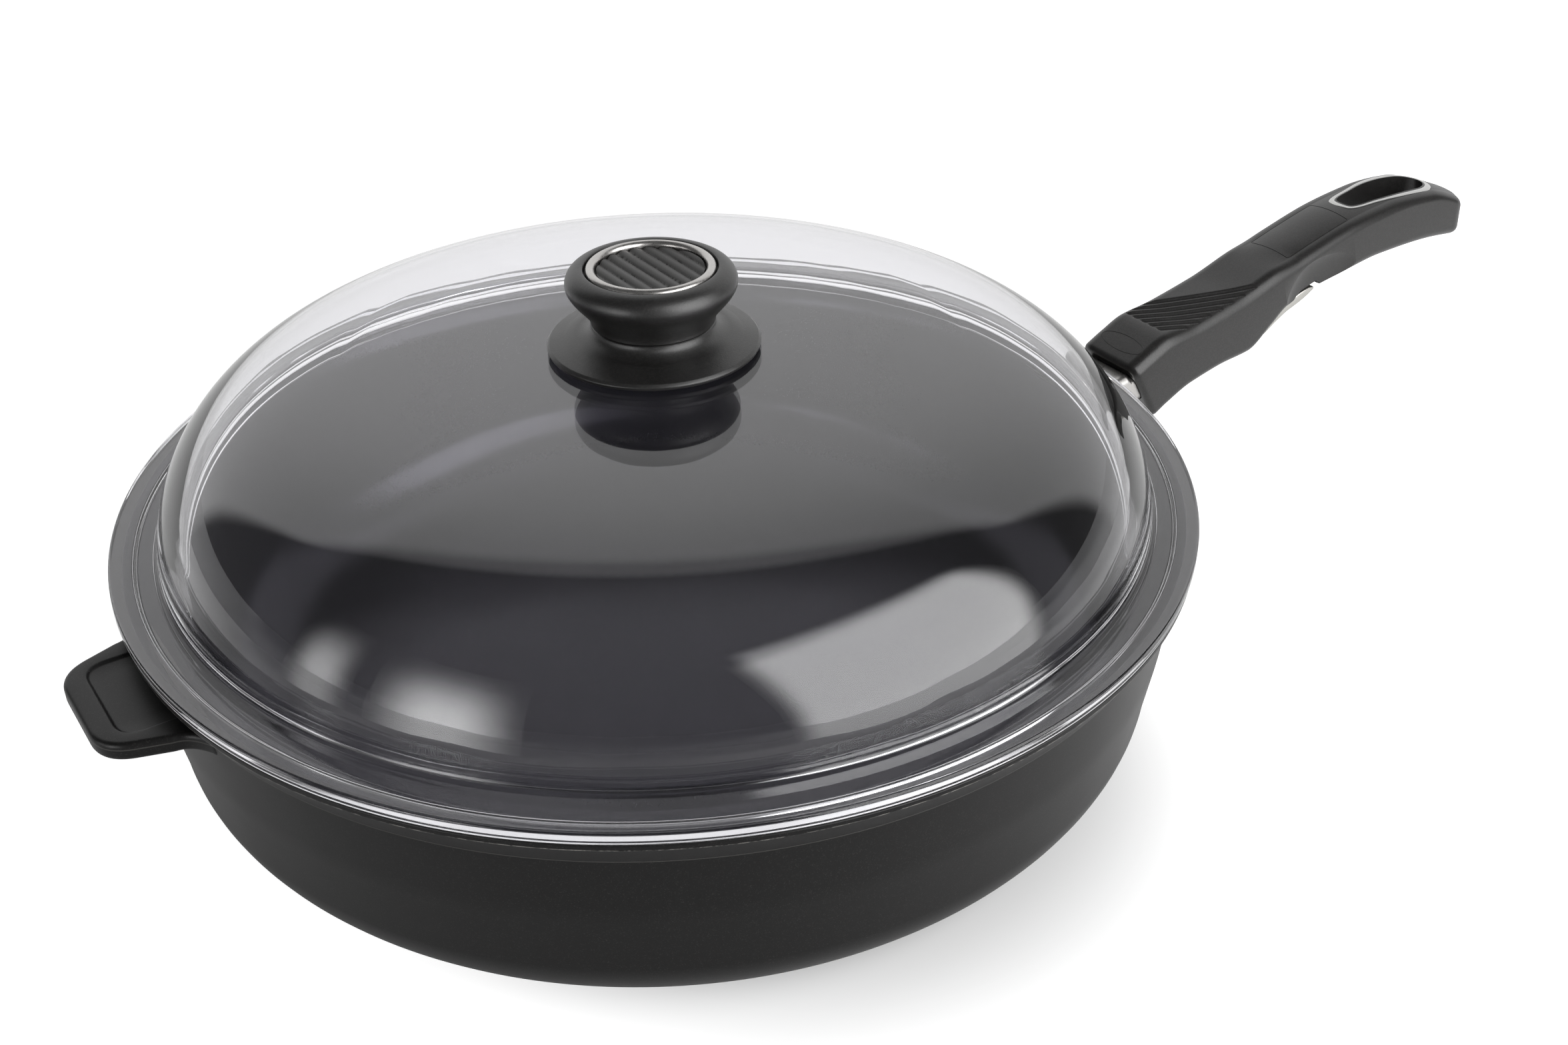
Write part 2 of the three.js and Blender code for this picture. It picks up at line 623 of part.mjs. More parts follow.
function handleGrip() {
  const rings = [];
  for (let i = 0; i < gripSections; i += 1) rings.push(gripSection(tailShare * i / gripSections));
  for (let i = 0; i <= tailSections; i += 1) {
    const round = Math.sin((i / tailSections) * Math.PI / 2);
    rings.push(gripSection(THREE.MathUtils.lerp(tailShare, 1, round)));
  }
  let body = solid(skin(rings, false));
  const socketShape = roundedRect(tongueWidth + 2 * slideGap, tongueHeight + 2 * slideGap, tongueCorner + slideGap);
  const socketEnd = tongueEnd + slideGap;
  const mouth = topEdge.nose[0] - past;
  body = body.subtract(solid(pushedAlong(socketShape, mouth, socketEnd - mouth)));
  const stepShape = roundedRect(tongueWidth + 2 * mouthStep, tongueHeight + 2 * mouthStep, tongueCorner + mouthStep);
  body = body.subtract(solid(pushedAlong(stepShape, mouth, mouthStepDepth - mouth)));
  const leafHalf = leafWidth / 2 + slideGap;
  const leafRoof = leafUnder + leafThick + seatGap;
  const slot = block([leafFront - seatGap, leafFront + slotLength], [-leafHalf, leafHalf], [0, leafRoof]);
  body = body.subtract(solid(slot));
  const springBay = block([leafFront + slotLength - seatGap, socketEnd + slideGap], [-leafHalf, leafHalf],
    [0, leafUnder + leafThick + leafLift]);
  body = body.subtract(solid(springBay)).subtract(leverPocket());
  const bore = crossRod(pinRadius + seatGap, -(gripHalfWidth - pinCover) - seatGap, gripHalfWidth + past,
    pivotAlong, pivotUp);
  body = body.subtract(solid(bore));
  [-1, 1].forEach((side) => {
    const hollow = new THREE.SphereGeometry(1, pinSteps, pinSteps / 2 - 1);
    hollow.scale(scallopLength, scallopDepth * 2, scallopHeight);
    hollow.translate(tipAlong - notchLength, side * (gripHalfWidth + scallopDepth), scallopUp);
    body = body.subtract(solid(hollow));
  });
  const notch = block([tipAlong - notchFront, tipAlong + notchLength], [-gripHalfWidth - past, gripHalfWidth + past],
    [underEdge.heel[1], tipUp + leverThick + slideGap]);
  body = body.subtract(solid(notch));
  for (let order = 0; order < ribCount; order += 1) body = body.subtract(solid(thumbGroove(order)));
  const hole = new THREE.Shape(ringPath(ringBand + seatGap));
  const holeFoot = underEdge.tail[1] - past;
  const holeCut = new THREE.ExtrudeGeometry(hole, { depth: topEdge.crest[1] + past - holeFoot, bevelEnabled: false });
  holeCut.translate(0, 0, holeFoot);
  body = body.subtract(solid(holeCut)).subtract(solid(ringBandSkin(seatGap)));
  return piece('handle_grip', fromSolid(body), phenolic());
}

function hangRing() {
  return piece('hang_ring', cleaned(ringBandSkin(0)), steel());
}

// Lever: a bent blade that ends in a wide paddle, an eye round the pin and a nose under the leaf
function releaseLever() {
  const tipRound = leverThick / 2;
  const edge = Object.values(leverEdge).slice(0, -1);
  const noseUp = leafUnder - seatGap;
  const shape = new THREE.Shape();
  shape.moveTo(tipAlong - tipRound, tipUp);
  shape.quadraticCurveTo(tipAlong + tipRound, tipUp + tipRound, tipAlong - tipRound, tipUp + leverThick);
  edge.slice(1).reverse().forEach(([along, up]) => shape.lineTo(along, up + leverThick));
  shape.lineTo(pivotAlong + eyeRadius * 0.9, pivotUp + eyeRadius * 0.45);
  shape.absarc(pivotAlong, pivotUp, eyeRadius, 0.45, Math.PI * 0.62);
  shape.lineTo(noseAlong + noseThick, noseUp - noseThick * 0.2);
  shape.quadraticCurveTo(noseAlong + noseThick / 2, noseUp + noseThick * 0.15, noseAlong, noseUp - noseThick * 0.6);
  shape.lineTo(pivotAlong - eyeRadius * 0.9, pivotUp + eyeRadius * 0.3);
  shape.absarc(pivotAlong, pivotUp, eyeRadius, Math.PI * 0.9, Math.PI * 1.35);
  edge.forEach(([along, up]) => shape.lineTo(along, up));
  shape.closePath();
  const eye = new THREE.Path().absarc(pivotAlong, pivotUp, pinRadius + slideGap, 0, Math.PI * 2, true);
  shape.holes.push(eye);
  const narrow = solid(pushedAcross(shape, 2 * leverHalfWidth));
  const behind = block([paddleFront, 2 * tipAlong], [-paddleHalfWidth, paddleHalfWidth],
    [underEdge.heel[1], gripHalfWidth]);
  const paddle = solid(pushedAcross(shape, 2 * paddleHalfWidth)).intersect(solid(behind));
  return piece('release_lever', fromSolid(narrow.add(paddle)), steel());
}

function leverPin() {
  const end = gripHalfWidth - pinCover;
  return piece('lever_pin', cleaned(crossRod(pinRadius, -end, end, pivotAlong, pivotUp)), steel());
}

function catchSpring() {
  const windowBack = tongueEnd - windowEnd;
  const toothBack = windowBack - slideGap;
  const toothFront = toothBack - toothLength;
  const tip = tongueHeight / 2 - toothBite;
  const end = noseAlong + noseThick;
  const upper = leafUnder + leafThick;
  const shape = new THREE.Shape();
  shape.moveTo(leafFront, leafUnder);
  shape.lineTo(toothFront, leafUnder);
  shape.lineTo(toothBack - leafThick, tip);
  shape.lineTo(toothBack, tip);
  shape.lineTo(toothBack, leafUnder);
  shape.lineTo(end, leafUnder);
  shape.lineTo(end, upper);
  shape.lineTo(toothBack - leafThick, upper);
  shape.lineTo(toothBack - leafThick, tip + leafThick * 1.5);
  shape.lineTo(toothFront + leafThick / 2, upper);
  shape.lineTo(leafFront, upper);
  shape.closePath();
  return piece('catch_spring', cleaned(pushedAcross(shape, leafWidth)), steel());
}

// Lid
const flangeUnder = panHeight + seatGap;
const flangeTop = flangeUnder + glassThick;
const crown = flangeTop + domeHeight;
const crownUnder = crown - glassThick;

function domeCurve(foot, base, top, steps) {
  const points = [];
  for (let i = 0; i <= steps; i += 1) {
    const radius = foot * Math.sin((i / steps) * Math.PI / 2);
    const rise = Math.pow(1 - Math.pow(radius / foot, domeSquareness), 1 / domeRoundness);
    points.push([radius, base + (top - base) * rise]);
  }
  return points.filter(([radius]) => radius > glassHole * 2);
}

function lidGlass() {
  const innerFoot = stepOuter - stepWidth;
  const round = glassEdgeRound;
  const profile = [
    [glassHole, crown], ...domeCurve(domeFoot, flangeTop, crown, domeSteps),
    [glassRadius - round, flangeTop], [glassRadius, flangeTop - round], [glassRadius, flangeUnder + round],
    [glassRadius - round, flangeUnder], [stepOuter, flangeUnder], [stepOuter - round / 2, flangeUnder - stepDepth],
    [innerFoot, flangeUnder - stepDepth],
    ...domeCurve(domeFoot - glassThick, flangeUnder, crownUnder, domeSteps - 2).reverse(), [glassHole, crownUnder],
  ];
  const look = material(0xdfe8ea, 0.03, 0);
  look.transparent = true;
  look.opacity = 0.3;
  return piece('lid_glass', turned(profile, panSteps), look);
}

// Knob stack, from the glass up
const sealFoot = crown + seatGap;
const seat = sealFoot + sealThick + seatGap;
const seam = seat + collarHeight;
const capFoot = seam + seatGap;
const capTop = capFoot + capHeight;
const trimFoot = capTop - trimHeight + seatGap;
const insertFoot = capTop - insertDrop - insertThick;
const bushFoot = capFoot + seatGap;

function knobSeal() {
  const profile = [[glassHole, sealFoot], [sealRadius, sealFoot], [sealRadius, sealFoot + sealThick],
    [glassHole, sealFoot + sealThick]];
  return piece('knob_seal', turned(profile, washerSteps), material(0x1c1c1c, 0.8, 0));
}

function knobBase() {
  const edgeFoot = seat - flangeSkirt;
  const sweepFoot = seat + flangeSlope;
  const profile = [
    [glassHole, seat], [sealRadius + 1, seat], [flangeRadius - 2.4, seat + 0.5], [flangeRadius - 1.6, edgeFoot],
    [flangeRadius - 0.4, edgeFoot], [flangeRadius, edgeFoot + flangeEdge * 0.5],
    [flangeRadius - 0.8, edgeFoot + flangeEdge],
    [flangeRadius - 5, sweepFoot - 0.9],
    ...quarter([collarRadius + 5.6, sweepFoot], [collarRadius, seam], 4, false),
    [glassHole, seam],
  ];
  return piece('knob_base', turned(profile, knobSteps), material(0x262626, 0.6, 0));
}

function knobGrip() {
  const widest = capFoot + capWidest;
  const pocket = trimOuter + trimRecess;
  const stop = trimOuter - trimBand - trimStop;
  const boreRadius = bushRadius + seatGap;
  const lipTop = capTop - capLipDrop;
  const flank = [];
  for (let i = 0; i <= capFlankSteps; i += 1) {
    const share = i / capFlankSteps;
    const swell = THREE.MathUtils.smoothstep(share, 0, 1);
    flank.push([THREE.MathUtils.lerp(waistRadius, capRadius, swell), THREE.MathUtils.lerp(capFoot, widest, share)]);
  }
  const profile = [
    [boreRadius, capFoot], ...flank, ...quarter([capRadius, widest], [pocket + trimRecess, lipTop], 5, true),
    [pocket, lipTop - trimRecess], [pocket, trimFoot - seatGap], [stop, trimFoot - seatGap],
    [stop, insertFoot - seatGap], [boreRadius, insertFoot - seatGap],
  ];
  return piece('knob_grip', turned(profile, knobSteps), material(0x2a2a2a, 0.6, 0));
}

function knobTrimRing() {
  const inner = trimOuter - trimBand;
  const middle = trimOuter - trimBand / 2;
  const profile = [[inner, trimFoot], [trimOuter, trimFoot]];
  for (let i = 0; i <= trimSteps; i += 1) {
    const angle = (i / trimSteps) * Math.PI;
    profile.push([middle + Math.cos(angle) * trimBand / 2, capTop + (Math.sin(angle) - 1) * trimBand * trimCrown]);
  }
  return piece('knob_trim_ring', turned(profile, knobSteps), steel());
}

// Insert disc with wave-shaped ribs on its face
function knobInsert() {
  const radius = trimOuter - trimBand - trimStop - seatGap;
  const side = Math.max(radius + past, waveCount * wavePitch / 2);
  const low = insertFoot + insertThick - waveHeight;
  const shape = new THREE.Shape();
  shape.moveTo(-side, insertFoot);
  shape.lineTo(side, insertFoot);
  shape.lineTo(side, low);
  for (let i = 0; i < waveCount; i += 1) {
    const from = (waveCount / 2 - i) * wavePitch;
    shape.lineTo(from, low);
    shape.quadraticCurveTo(from - wavePitch * 0.25, low + waveHeight * 2, from - wavePitch, low);
  }
  shape.lineTo(-side, low);
  shape.closePath();
  const waves = pushedAcross(shape, 2 * radius + past, 3);
  waves.rotateZ(THREE.MathUtils.degToRad(waveTurn));
  const disc = turned([[0, insertFoot - past], [radius, insertFoot - past], [radius, capTop], [0, capTop]], knobSteps);
  const ribbed = solid(waves).intersect(solid(disc));
  return piece('knob_insert', fromSolid(ribbed), material(0x333333, 0.6, 0));
}

function knobThreadInsert() {
  const boltHole = boltRadius + seatGap;
  const bushTop = bushFoot + bushLength;
  const profile = [[boltHole, bushFoot], [bushRadius, bushFoot], [bushRadius, bushTop], [0, bushTop],
    [0, bushTop - bushCap], [boltHole, bushTop - bushCap]];
  const closedOnAxis = [...profile.slice(4), ...profile.slice(0, 4)];
  return piece('knob_thread_insert', turned(closedOnAxis, pinSteps), material(0xb58a3c, 0.35, 1));
}

const lowerSealTop = crownUnder - seatGap;
const washerTop = lowerSealTop - lowerSealThick - seatGap;

function knobLowerSeal() {
  const hole = boltRadius + slideGap;
  const foot = lowerSealTop - lowerSealThick;
  const profile = [[hole, foot], [lowerSealRadius, foot], [lowerSealRadius, lowerSealTop], [hole, lowerSealTop]];
  return piece('knob_lower_seal', turned(profile, washerSteps), material(0x1c1c1c, 0.8, 0));
}

function knobWasher() {
  const hole = boltRadius + slideGap;
  const foot = washerTop - washerThick;
  const profile = [[hole, foot], [washerRadius - 0.6, foot], [washerRadius, foot + 0.6], [washerRadius, washerTop],
    [hole, washerTop]];
  return piece('knob_washer', turned(profile, washerSteps), steel());
}

function knobScrew() {
  const headTop = washerTop - washerThick - seatGap;
  const headFoot = headTop - boltHeadHeight;
  const profile = [
    [0, headFoot], [boltHead * 0.7, headFoot], [boltHead, headFoot + boltHeadHeight * 0.5], [boltHead, headTop],
    [boltRadius, headTop], [boltRadius, bushFoot + boltBite - 1], [boltRadius * 0.6, bushFoot + boltBite],
    [0, bushFoot + boltBite],
  ];
  return piece('knob_screw', turned(profile, pinSteps), steel());
}

const pan = new THREE.Group();
pan.add(panBody(), handleBracket());
pan.add(bracketScrew('bracket_screw_left', -screwSpread), bracketScrew('bracket_screw_right', screwSpread));

const handle = new THREE.Group();
handle.position.set(footFace + gripStandoff * Math.cos(tilt), 0, tongueRoot + gripStandoff * Math.sin(tilt));
handle.rotation.y = -tilt;
handle.add(handleGrip(), hangRing(), releaseLever(), leverPin(), catchSpring());

const lid = new THREE.Group();
lid.add(lidGlass(), knobSeal(), knobBase(), knobGrip(), knobTrimRing(), knobInsert());
lid.add(knobThreadInsert(), knobLowerSeal(), knobWasher(), knobScrew());

const product = new THREE.Group();
product.add(pan, handle, lid);

export default product;
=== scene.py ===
import math
import bmesh
import bpy
from mathutils import Matrix, Vector, noise


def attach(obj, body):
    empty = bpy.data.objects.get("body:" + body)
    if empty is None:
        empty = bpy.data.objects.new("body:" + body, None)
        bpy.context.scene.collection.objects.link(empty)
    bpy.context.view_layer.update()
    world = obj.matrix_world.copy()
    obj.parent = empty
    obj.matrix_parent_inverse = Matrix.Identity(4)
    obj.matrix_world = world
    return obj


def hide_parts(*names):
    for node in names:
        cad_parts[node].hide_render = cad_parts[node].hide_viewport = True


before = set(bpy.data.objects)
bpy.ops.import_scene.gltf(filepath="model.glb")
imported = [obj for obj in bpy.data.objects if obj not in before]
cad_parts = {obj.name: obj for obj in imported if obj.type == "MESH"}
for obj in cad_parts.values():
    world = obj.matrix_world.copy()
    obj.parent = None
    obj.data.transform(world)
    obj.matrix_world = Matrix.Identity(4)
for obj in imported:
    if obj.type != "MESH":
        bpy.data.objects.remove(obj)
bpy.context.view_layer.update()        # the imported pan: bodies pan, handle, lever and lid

scene = bpy.context.scene
scene.view_settings.view_transform = "Standard"
mm = 0.001               # sizes below are in millimetres unless noted
print("frame loaded with", len(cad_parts), "nodes")


# small tools for outlines and meshes

def ease(value, low, high):      # 0 at low, 1 at high, smooth between; low may be the larger
    t = min(1.0, max(0.0, (value - low) / (high - low)))
    return t * t * (3 - 2 * t)


def blend(a, b, t):
    return a + (b - a) * t


def curve(a, b, c, t):           # point on the way from a to c, pulled towards b
    return tuple((1 - t) ** 2 * p + 2 * t * (1 - t) * q + t * t * r for p, q, r in zip(a, b, c))


def roundCorners(points, closed=False, steps=6):     # points are (x, y, radius)
    out = []
    count = len(points)
    for i, (x, y, radius) in enumerate(points):
        if radius == 0 or (not closed and i in (0, count - 1)):
            out.append((x, y))
            continue
        here = Vector((x, y))
        back = Vector(points[i - 1][:2]) - here
        ahead = Vector(points[(i + 1) % count][:2]) - here
        reach = radius / max(math.tan(back.angle(ahead) / 2), 1e-4)
        reach = min(reach, back.length * 0.49, ahead.length * 0.49)
        start = here + back.normalized() * reach
        end = here + ahead.normalized() * reach
        out += [curve(start, here, end, k / steps) for k in range(steps + 1)]
    return out


def quarterTurns(steps):
    return [k / steps * math.pi / 2 for k in range(steps + 1)]


def quarterArc(start, end, steps, flatFirst):        # quarter ellipse between two corners
    out = []
    for angle in quarterTurns(steps):
        slow, fast = 1 - math.cos(angle), math.sin(angle)
        across, up = (fast, slow) if flatFirst else (slow, fast)
        out.append((blend(start[0], end[0], across), blend(start[1], end[1], up)))
    return out


def roundRect(width, height, corner, steps=8):       # points round a rectangle with round corners
    out = []
    for turn, (sx, sy) in enumerate(((1, 1), (-1, 1), (-1, -1), (1, -1))):
        for k in range(steps + 1):
            angle = (turn + k / steps) * math.pi / 2
            out.append((sx * (width / 2 - corner) + corner * math.cos(angle),
                        sy * (height / 2 - corner) + corner * math.sin(angle)))
    return out


def resample(path, count):       # points spaced evenly along an open path
    lengths = [0.0]
    for a, b in zip(path, path[1:]):
        lengths.append(lengths[-1] + math.dist(a, b))
    out, i = [], 0
    for k in range(count):
        want = lengths[-1] * k / (count - 1)
        while i < len(lengths) - 2 and lengths[i + 1] < want:
            i += 1
        t = (want - lengths[i]) / max(lengths[i + 1] - lengths[i], 1e-9)
        out.append(tuple(blend(a, b, t) for a, b in zip(path[i], path[i + 1])))
    return out


def smoothFaces(bm, sharp):      # edges sharper than this stay hard
    for face in bm.faces:
        face.smooth = True
    for edge in bm.edges:
        edge.smooth = len(edge.link_faces) != 2 or edge.calc_face_angle() < math.radians(sharp)


def meshFrom(name, bm, sharp=35):
    bmesh.ops.recalc_face_normals(bm, faces=bm.faces)
    smoothFaces(bm, sharp)
    mesh = bpy.data.meshes.new(name)
    bm.to_mesh(mesh)
    bm.free()
    return mesh


def ringOf(bm, points, frameIn=Matrix.Identity(4)):  # points in millimetres
    return [bm.verts.new(frameIn @ Vector([c * mm for c in point])) for point in points]


def bridge(bm, first, second):   # quads between two rings, or a fan to a single point
    faces = []
    count = max(len(first), len(second))
    for k in range(count):
        after = (k + 1) % count
        corners = [first[k % len(first)], first[after % len(first)]]
        corners += [second[after % len(second)], second[k % len(second)]]
        unique = list(dict.fromkeys(corners))
        if len(unique) > 2:
            faces.append(bm.faces.new(unique))
    return faces


def joinRings(bm, rings, capped=True, endless=False):
    for first, second in zip(rings, rings[1:] + rings[:1] if endless else rings[1:]):
        bridge(bm, first, second)
    if capped and not endless:
        bm.faces.new(rings[0])
        bm.faces.new(rings[-1])


def loftMesh(name, rings, frameIn, endless=False, sharp=35):
    bm = bmesh.new()             # vectors are scaled here: the cut of the hanging hole needs this rounding
    made = [[bm.verts.new(frameIn @ (Vector(point) * mm)) for point in ring] for ring in rings]
    joinRings(bm, made, endless=endless)
    return meshFrom(name, bm, sharp)


def spinRings(bm, outline, steps, wobble=None):      # outline of (radius, height) turned about Z
    rings = []
    for radius, height in outline:
        if radius < 1e-3:
            rings.append(ringOf(bm, [(0, 0, height)]))
            continue
        ring = []
        for k in range(steps):
            angle = k / steps * math.tau
            reach = radius + (wobble(radius, height, angle) if wobble else 0)
            ring.append((reach * math.cos(angle), reach * math.sin(angle), height))
        rings.append(ringOf(bm, ring))
    return rings


def turnedMesh(name, outline, steps, sharp=35, wobble=None):
    bm = bmesh.new()
    rings = spinRings(bm, outline, steps, wobble)
    joinRings(bm, rings, capped=False, endless=outline[0][0] > 1e-3)
    return meshFrom(name, bm, sharp)


def sidePush(name, outline, width, rounding):        # outline of (along, up), thickness across
    bm = bmesh.new()
    face = bm.faces.new(ringOf(bm, [(x, -width / 2, z) for x, z in outline]))
    pushed = bmesh.ops.extrude_face_region(bm, geom=[face])
    moved = [v for v in pushed["geom"] if isinstance(v, bmesh.types.BMVert)]
    bmesh.ops.translate(bm, verts=moved, vec=(0, width * mm, 0))
    rims = [e for e in bm.edges if abs(e.verts[0].co.y - e.verts[1].co.y) < 1e-7]
    bmesh.ops.recalc_face_normals(bm, faces=bm.faces)
    bmesh.ops.bevel(bm, geom=rims, offset=rounding * mm, segments=3, profile=0.5, affect="EDGES")
    return meshFrom(name, bm)


def cutter(name, rings, frameIn):
    bm = bmesh.new()
    joinRings(bm, [ringOf(bm, ring, frameIn) for ring in rings])
    return bpy.data.objects.new(name, meshFrom(name, bm))


def boxCutter(name, low, high, frameIn=Matrix.Identity(4)):  # between two opposite corners
    bm = bmesh.new()
    bmesh.ops.create_cube(bm, size=1)
    middle = [(a + b) / 2 * mm for a, b in zip(low, high)]
    spans = [(b - a) * mm for a, b in zip(low, high)]
    shaped = frameIn @ Matrix.Translation(middle) @ Matrix.Diagonal((*spans, 1))
    bmesh.ops.transform(bm, matrix=shaped, verts=bm.verts)
    return bpy.data.objects.new(name, meshFrom(name, bm))


def sideRings(outline, width):   # outline of (along, up), cut across
    return [[(x, y, z) for x, z in outline] for y in (-width / 2, width / 2)]


def cutAway(obj, cutters, sharp=32):                 # boolean difference, applied
    for piece in cutters:
        scene.collection.objects.link(piece)
        step = obj.modifiers.new("cut", "BOOLEAN")
        step.operation = "DIFFERENCE"
        step.solver = "EXACT"
        step.object = piece
    bpy.context.view_layer.update()
    ready = obj.evaluated_get(bpy.context.evaluated_depsgraph_get())
    mesh = bpy.data.meshes.new_from_object(ready)
    obj.modifiers.clear()
    old = obj.data
    obj.data = mesh
    bpy.data.meshes.remove(old)
    for piece in cutters:
        shape = piece.data
        bpy.data.objects.remove(piece)
        bpy.data.meshes.remove(shape)
    bm = bmesh.new()
    bm.from_mesh(obj.data)
    smoothFaces(bm, sharp)
    bm.to_mesh(obj.data)
    bm.free()


def tiltFrame(x, z, degrees):    # places along/across/up points on the tilted line
    turn = Matrix.Rotation(math.radians(-degrees), 4, "Y")
    return Matrix.Translation((x * mm, 0, z * mm)) @ turn


def place(name, mesh, body, nodes, slotName, *finishes):
    obj = bpy.data.objects.new(name, mesh)
    scene.collection.objects.link(obj)
    for finish in finishes:
        mesh.materials.append(finish)
    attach(obj, body)
    if nodes:
        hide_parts(*nodes)
    return obj


def dressNode(node, finish):     # a CAD node that is shown as it is
    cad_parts[node].data.materials.clear()
    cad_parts[node].data.materials.append(finish)


# finishes

def startFinish(name):
    finish = bpy.data.materials.new(name)
    finish.use_nodes = True
    return finish, finish.node_tree, finish.node_tree.nodes["Principled BSDF"]


def feed(tree, node, values):    # numbers and colours are set, outputs are linked
    for key, value in values.items():
        socket = node.inputs[key]
        if isinstance(value, tuple):
            socket.default_value = value if socket.type == "VECTOR" else (*value, 1)
        elif isinstance(value, (int, float)):
            socket.default_value = value
        else:
            tree.links.new(value, socket)


def addNode(tree, kind, values, **settings):
    made = tree.nodes.new("ShaderNode" + kind)
    for key, setting in settings.items():
        setattr(made, key, setting)
    feed(tree, made, values)
    return made


def objectCoords(tree):
    return addNode(tree, "TexCoord", {}).outputs["Object"]


def noiseAt(tree, coords, scale, detail=2.0, rough=0.5):
    values = {"Vector": coords, "Scale": scale, "Detail": detail, "Roughness": rough}
    return addNode(tree, "TexNoise", values).outputs["Fac"]


def rangeOf(tree, value, fromLow, fromHigh, toLow, toHigh, smooth=False):
    values = {"Value": value, "From Min": fromLow, "From Max": fromHigh, "To Min": toLow, "To Max": toHigh}
    kind = "SMOOTHSTEP" if smooth else "LINEAR"
    return addNode(tree, "MapRange", values, interpolation_type=kind).outputs["Result"]


def mathOf(tree, operation, first, second=0):
    return addNode(tree, "Math", {0: first, 1: second}, operation=operation).outputs["Value"]


def vectorOf(tree, operation, first, second):
    made = addNode(tree, "VectorMath", {0: first, 1: second}, operation=operation)
    return made.outputs["Value"]


def mixColour(tree, factor, first, second):
    made = addNode(tree, "Mix", {}, data_type="RGBA")
    colours = {s.name: i for i, s in enumerate(made.inputs) if s.type == "RGBA"}
    feed(tree, made, {"Factor": factor, colours["A"]: first, colours["B"]: second})
    return [s for s in made.outputs if s.type == "RGBA"][0]


def grainBump(tree, bsdf, height, strength, depth):
    values = {"Strength": strength, "Distance": depth * mm, "Height": height}
    tree.links.new(addNode(tree, "Bump", values).outputs["Normal"], bsdf.inputs["Normal"])


noiseSpan = (0.3, 0.7)           # where most of a noise's values lie


def speckled(name, look):        # dark coats and mouldings: fine grain, light flecks, cloudy sheen
    finish, tree, bsdf = startFinish(name)
    coords = objectCoords(tree)
    fleck = addNode(tree, "TexVoronoi", {"Scale": look["fleckScale"], "Vector": coords})
    parts = addNode(tree, "SeparateColor", {"Color": fleck.outputs["Color"]})
    chosen = rangeOf(tree, parts.outputs["Red"], look["fleckRare"], 1.0, 0, look["fleckShow"])
    clouds = noiseAt(tree, coords, look["cloudScale"], 3)
    ground = mixColour(tree, clouds, look["dark"], look["pale"])
    colour = mixColour(tree, chosen, ground, look["fleck"])
    grain = noiseAt(tree, coords, look["grainScale"], 3, 0.6)
    grainBump(tree, bsdf, grain, look["grainStrength"], look["grainDepth"])
    sheen = rangeOf(tree, clouds, *noiseSpan, *look["rough"])
    feed(tree, bsdf, {"Base Color": colour, "Roughness": sheen, "Specular IOR Level": look["gloss"]})
    return finish, tree, bsdf, coords, colour


coatLook = {
    "dark": (0.0038, 0.0036, 0.0036), "pale": (0.005, 0.0047, 0.0047), "fleck": (0.05, 0.0475, 0.046),
    "fleckScale": 4200, "fleckRare": 0.88, "fleckShow": 0.35, "cloudScale": 22,
    "rough": (0.36, 0.42), "gloss": 0.33, "grainScale": 5200, "grainStrength": 0.35, "grainDepth": 0.03,
    # the pale line colour paints two lines round the wall: a painted edge highlight under the lip band, broken
    # into patches, and a faint line at the flare's foot
    "lineColour": (0.3, 0.29, 0.27), "patchScale": 420, "patches": (0.42, 0.62),
    "lipGlintLine": {"height": 72.05, "core": 0.05, "reach": 0.3, "show": 0.75},      # under the lip band
    "footLine": {"height": 64.525, "core": 0.02, "reach": 0.3, "show": 0.16},     # at the flare's foot
}


def lineAt(tree, height, line):  # strength of a thin line round the wall
    off = mathOf(tree, "ABSOLUTE", mathOf(tree, "SUBTRACT", height, line["height"] * mm))
    return rangeOf(tree, off, line["core"] * mm, line["reach"] * mm, line["show"], 0, True)


def coatFinish(look):
    finish, tree, bsdf, coords, colour = speckled("castCoat", look)
    height = addNode(tree, "SeparateXYZ", {"Vector": coords}).outputs["Z"]
    patchy = noiseAt(tree, coords, look["patchScale"], 4, 0.7)
    broken = rangeOf(tree, patchy, *look["patches"], 0, 1)
    # painted edge highlight under the lip band, broken into patches
    lipGlint = mathOf(tree, "MULTIPLY", lineAt(tree, height, look["lipGlintLine"]), broken)
    both = mathOf(tree, "MAXIMUM", lipGlint, lineAt(tree, height, look["footLine"]))
    feed(tree, bsdf, {"Base Color": mixColour(tree, both, colour, look["lineColour"])})
    return finish


insideLook = {
    "dark": (0.00765, 0.00747, 0.00918), "pale": (0.00935, 0.00913, 0.01122), "fineScale": 1800,
    "rough": (0.24, 0.27), "cloudScale": 30, "sheen": (0.86, 0.84, 1.0), "gloss": 0.34,
}


def insideFinish(look):          # smooth non-stick inside
    finish, tree, bsdf = startFinish("insideCoat")
    coords = objectCoords(tree)
    clouds = noiseAt(tree, coords, look["cloudScale"], 3)
    fine = noiseAt(tree, coords, look["fineScale"], 2)
    feed(tree, bsdf, {
        "Roughness": rangeOf(tree, clouds, *noiseSpan, *look["rough"]),
        "Base Color": mixColour(tree, fine, look["dark"], look["pale"]),
        "Specular Tint": look["sheen"], "Specular IOR Level": look["gloss"],
    })
    return finish


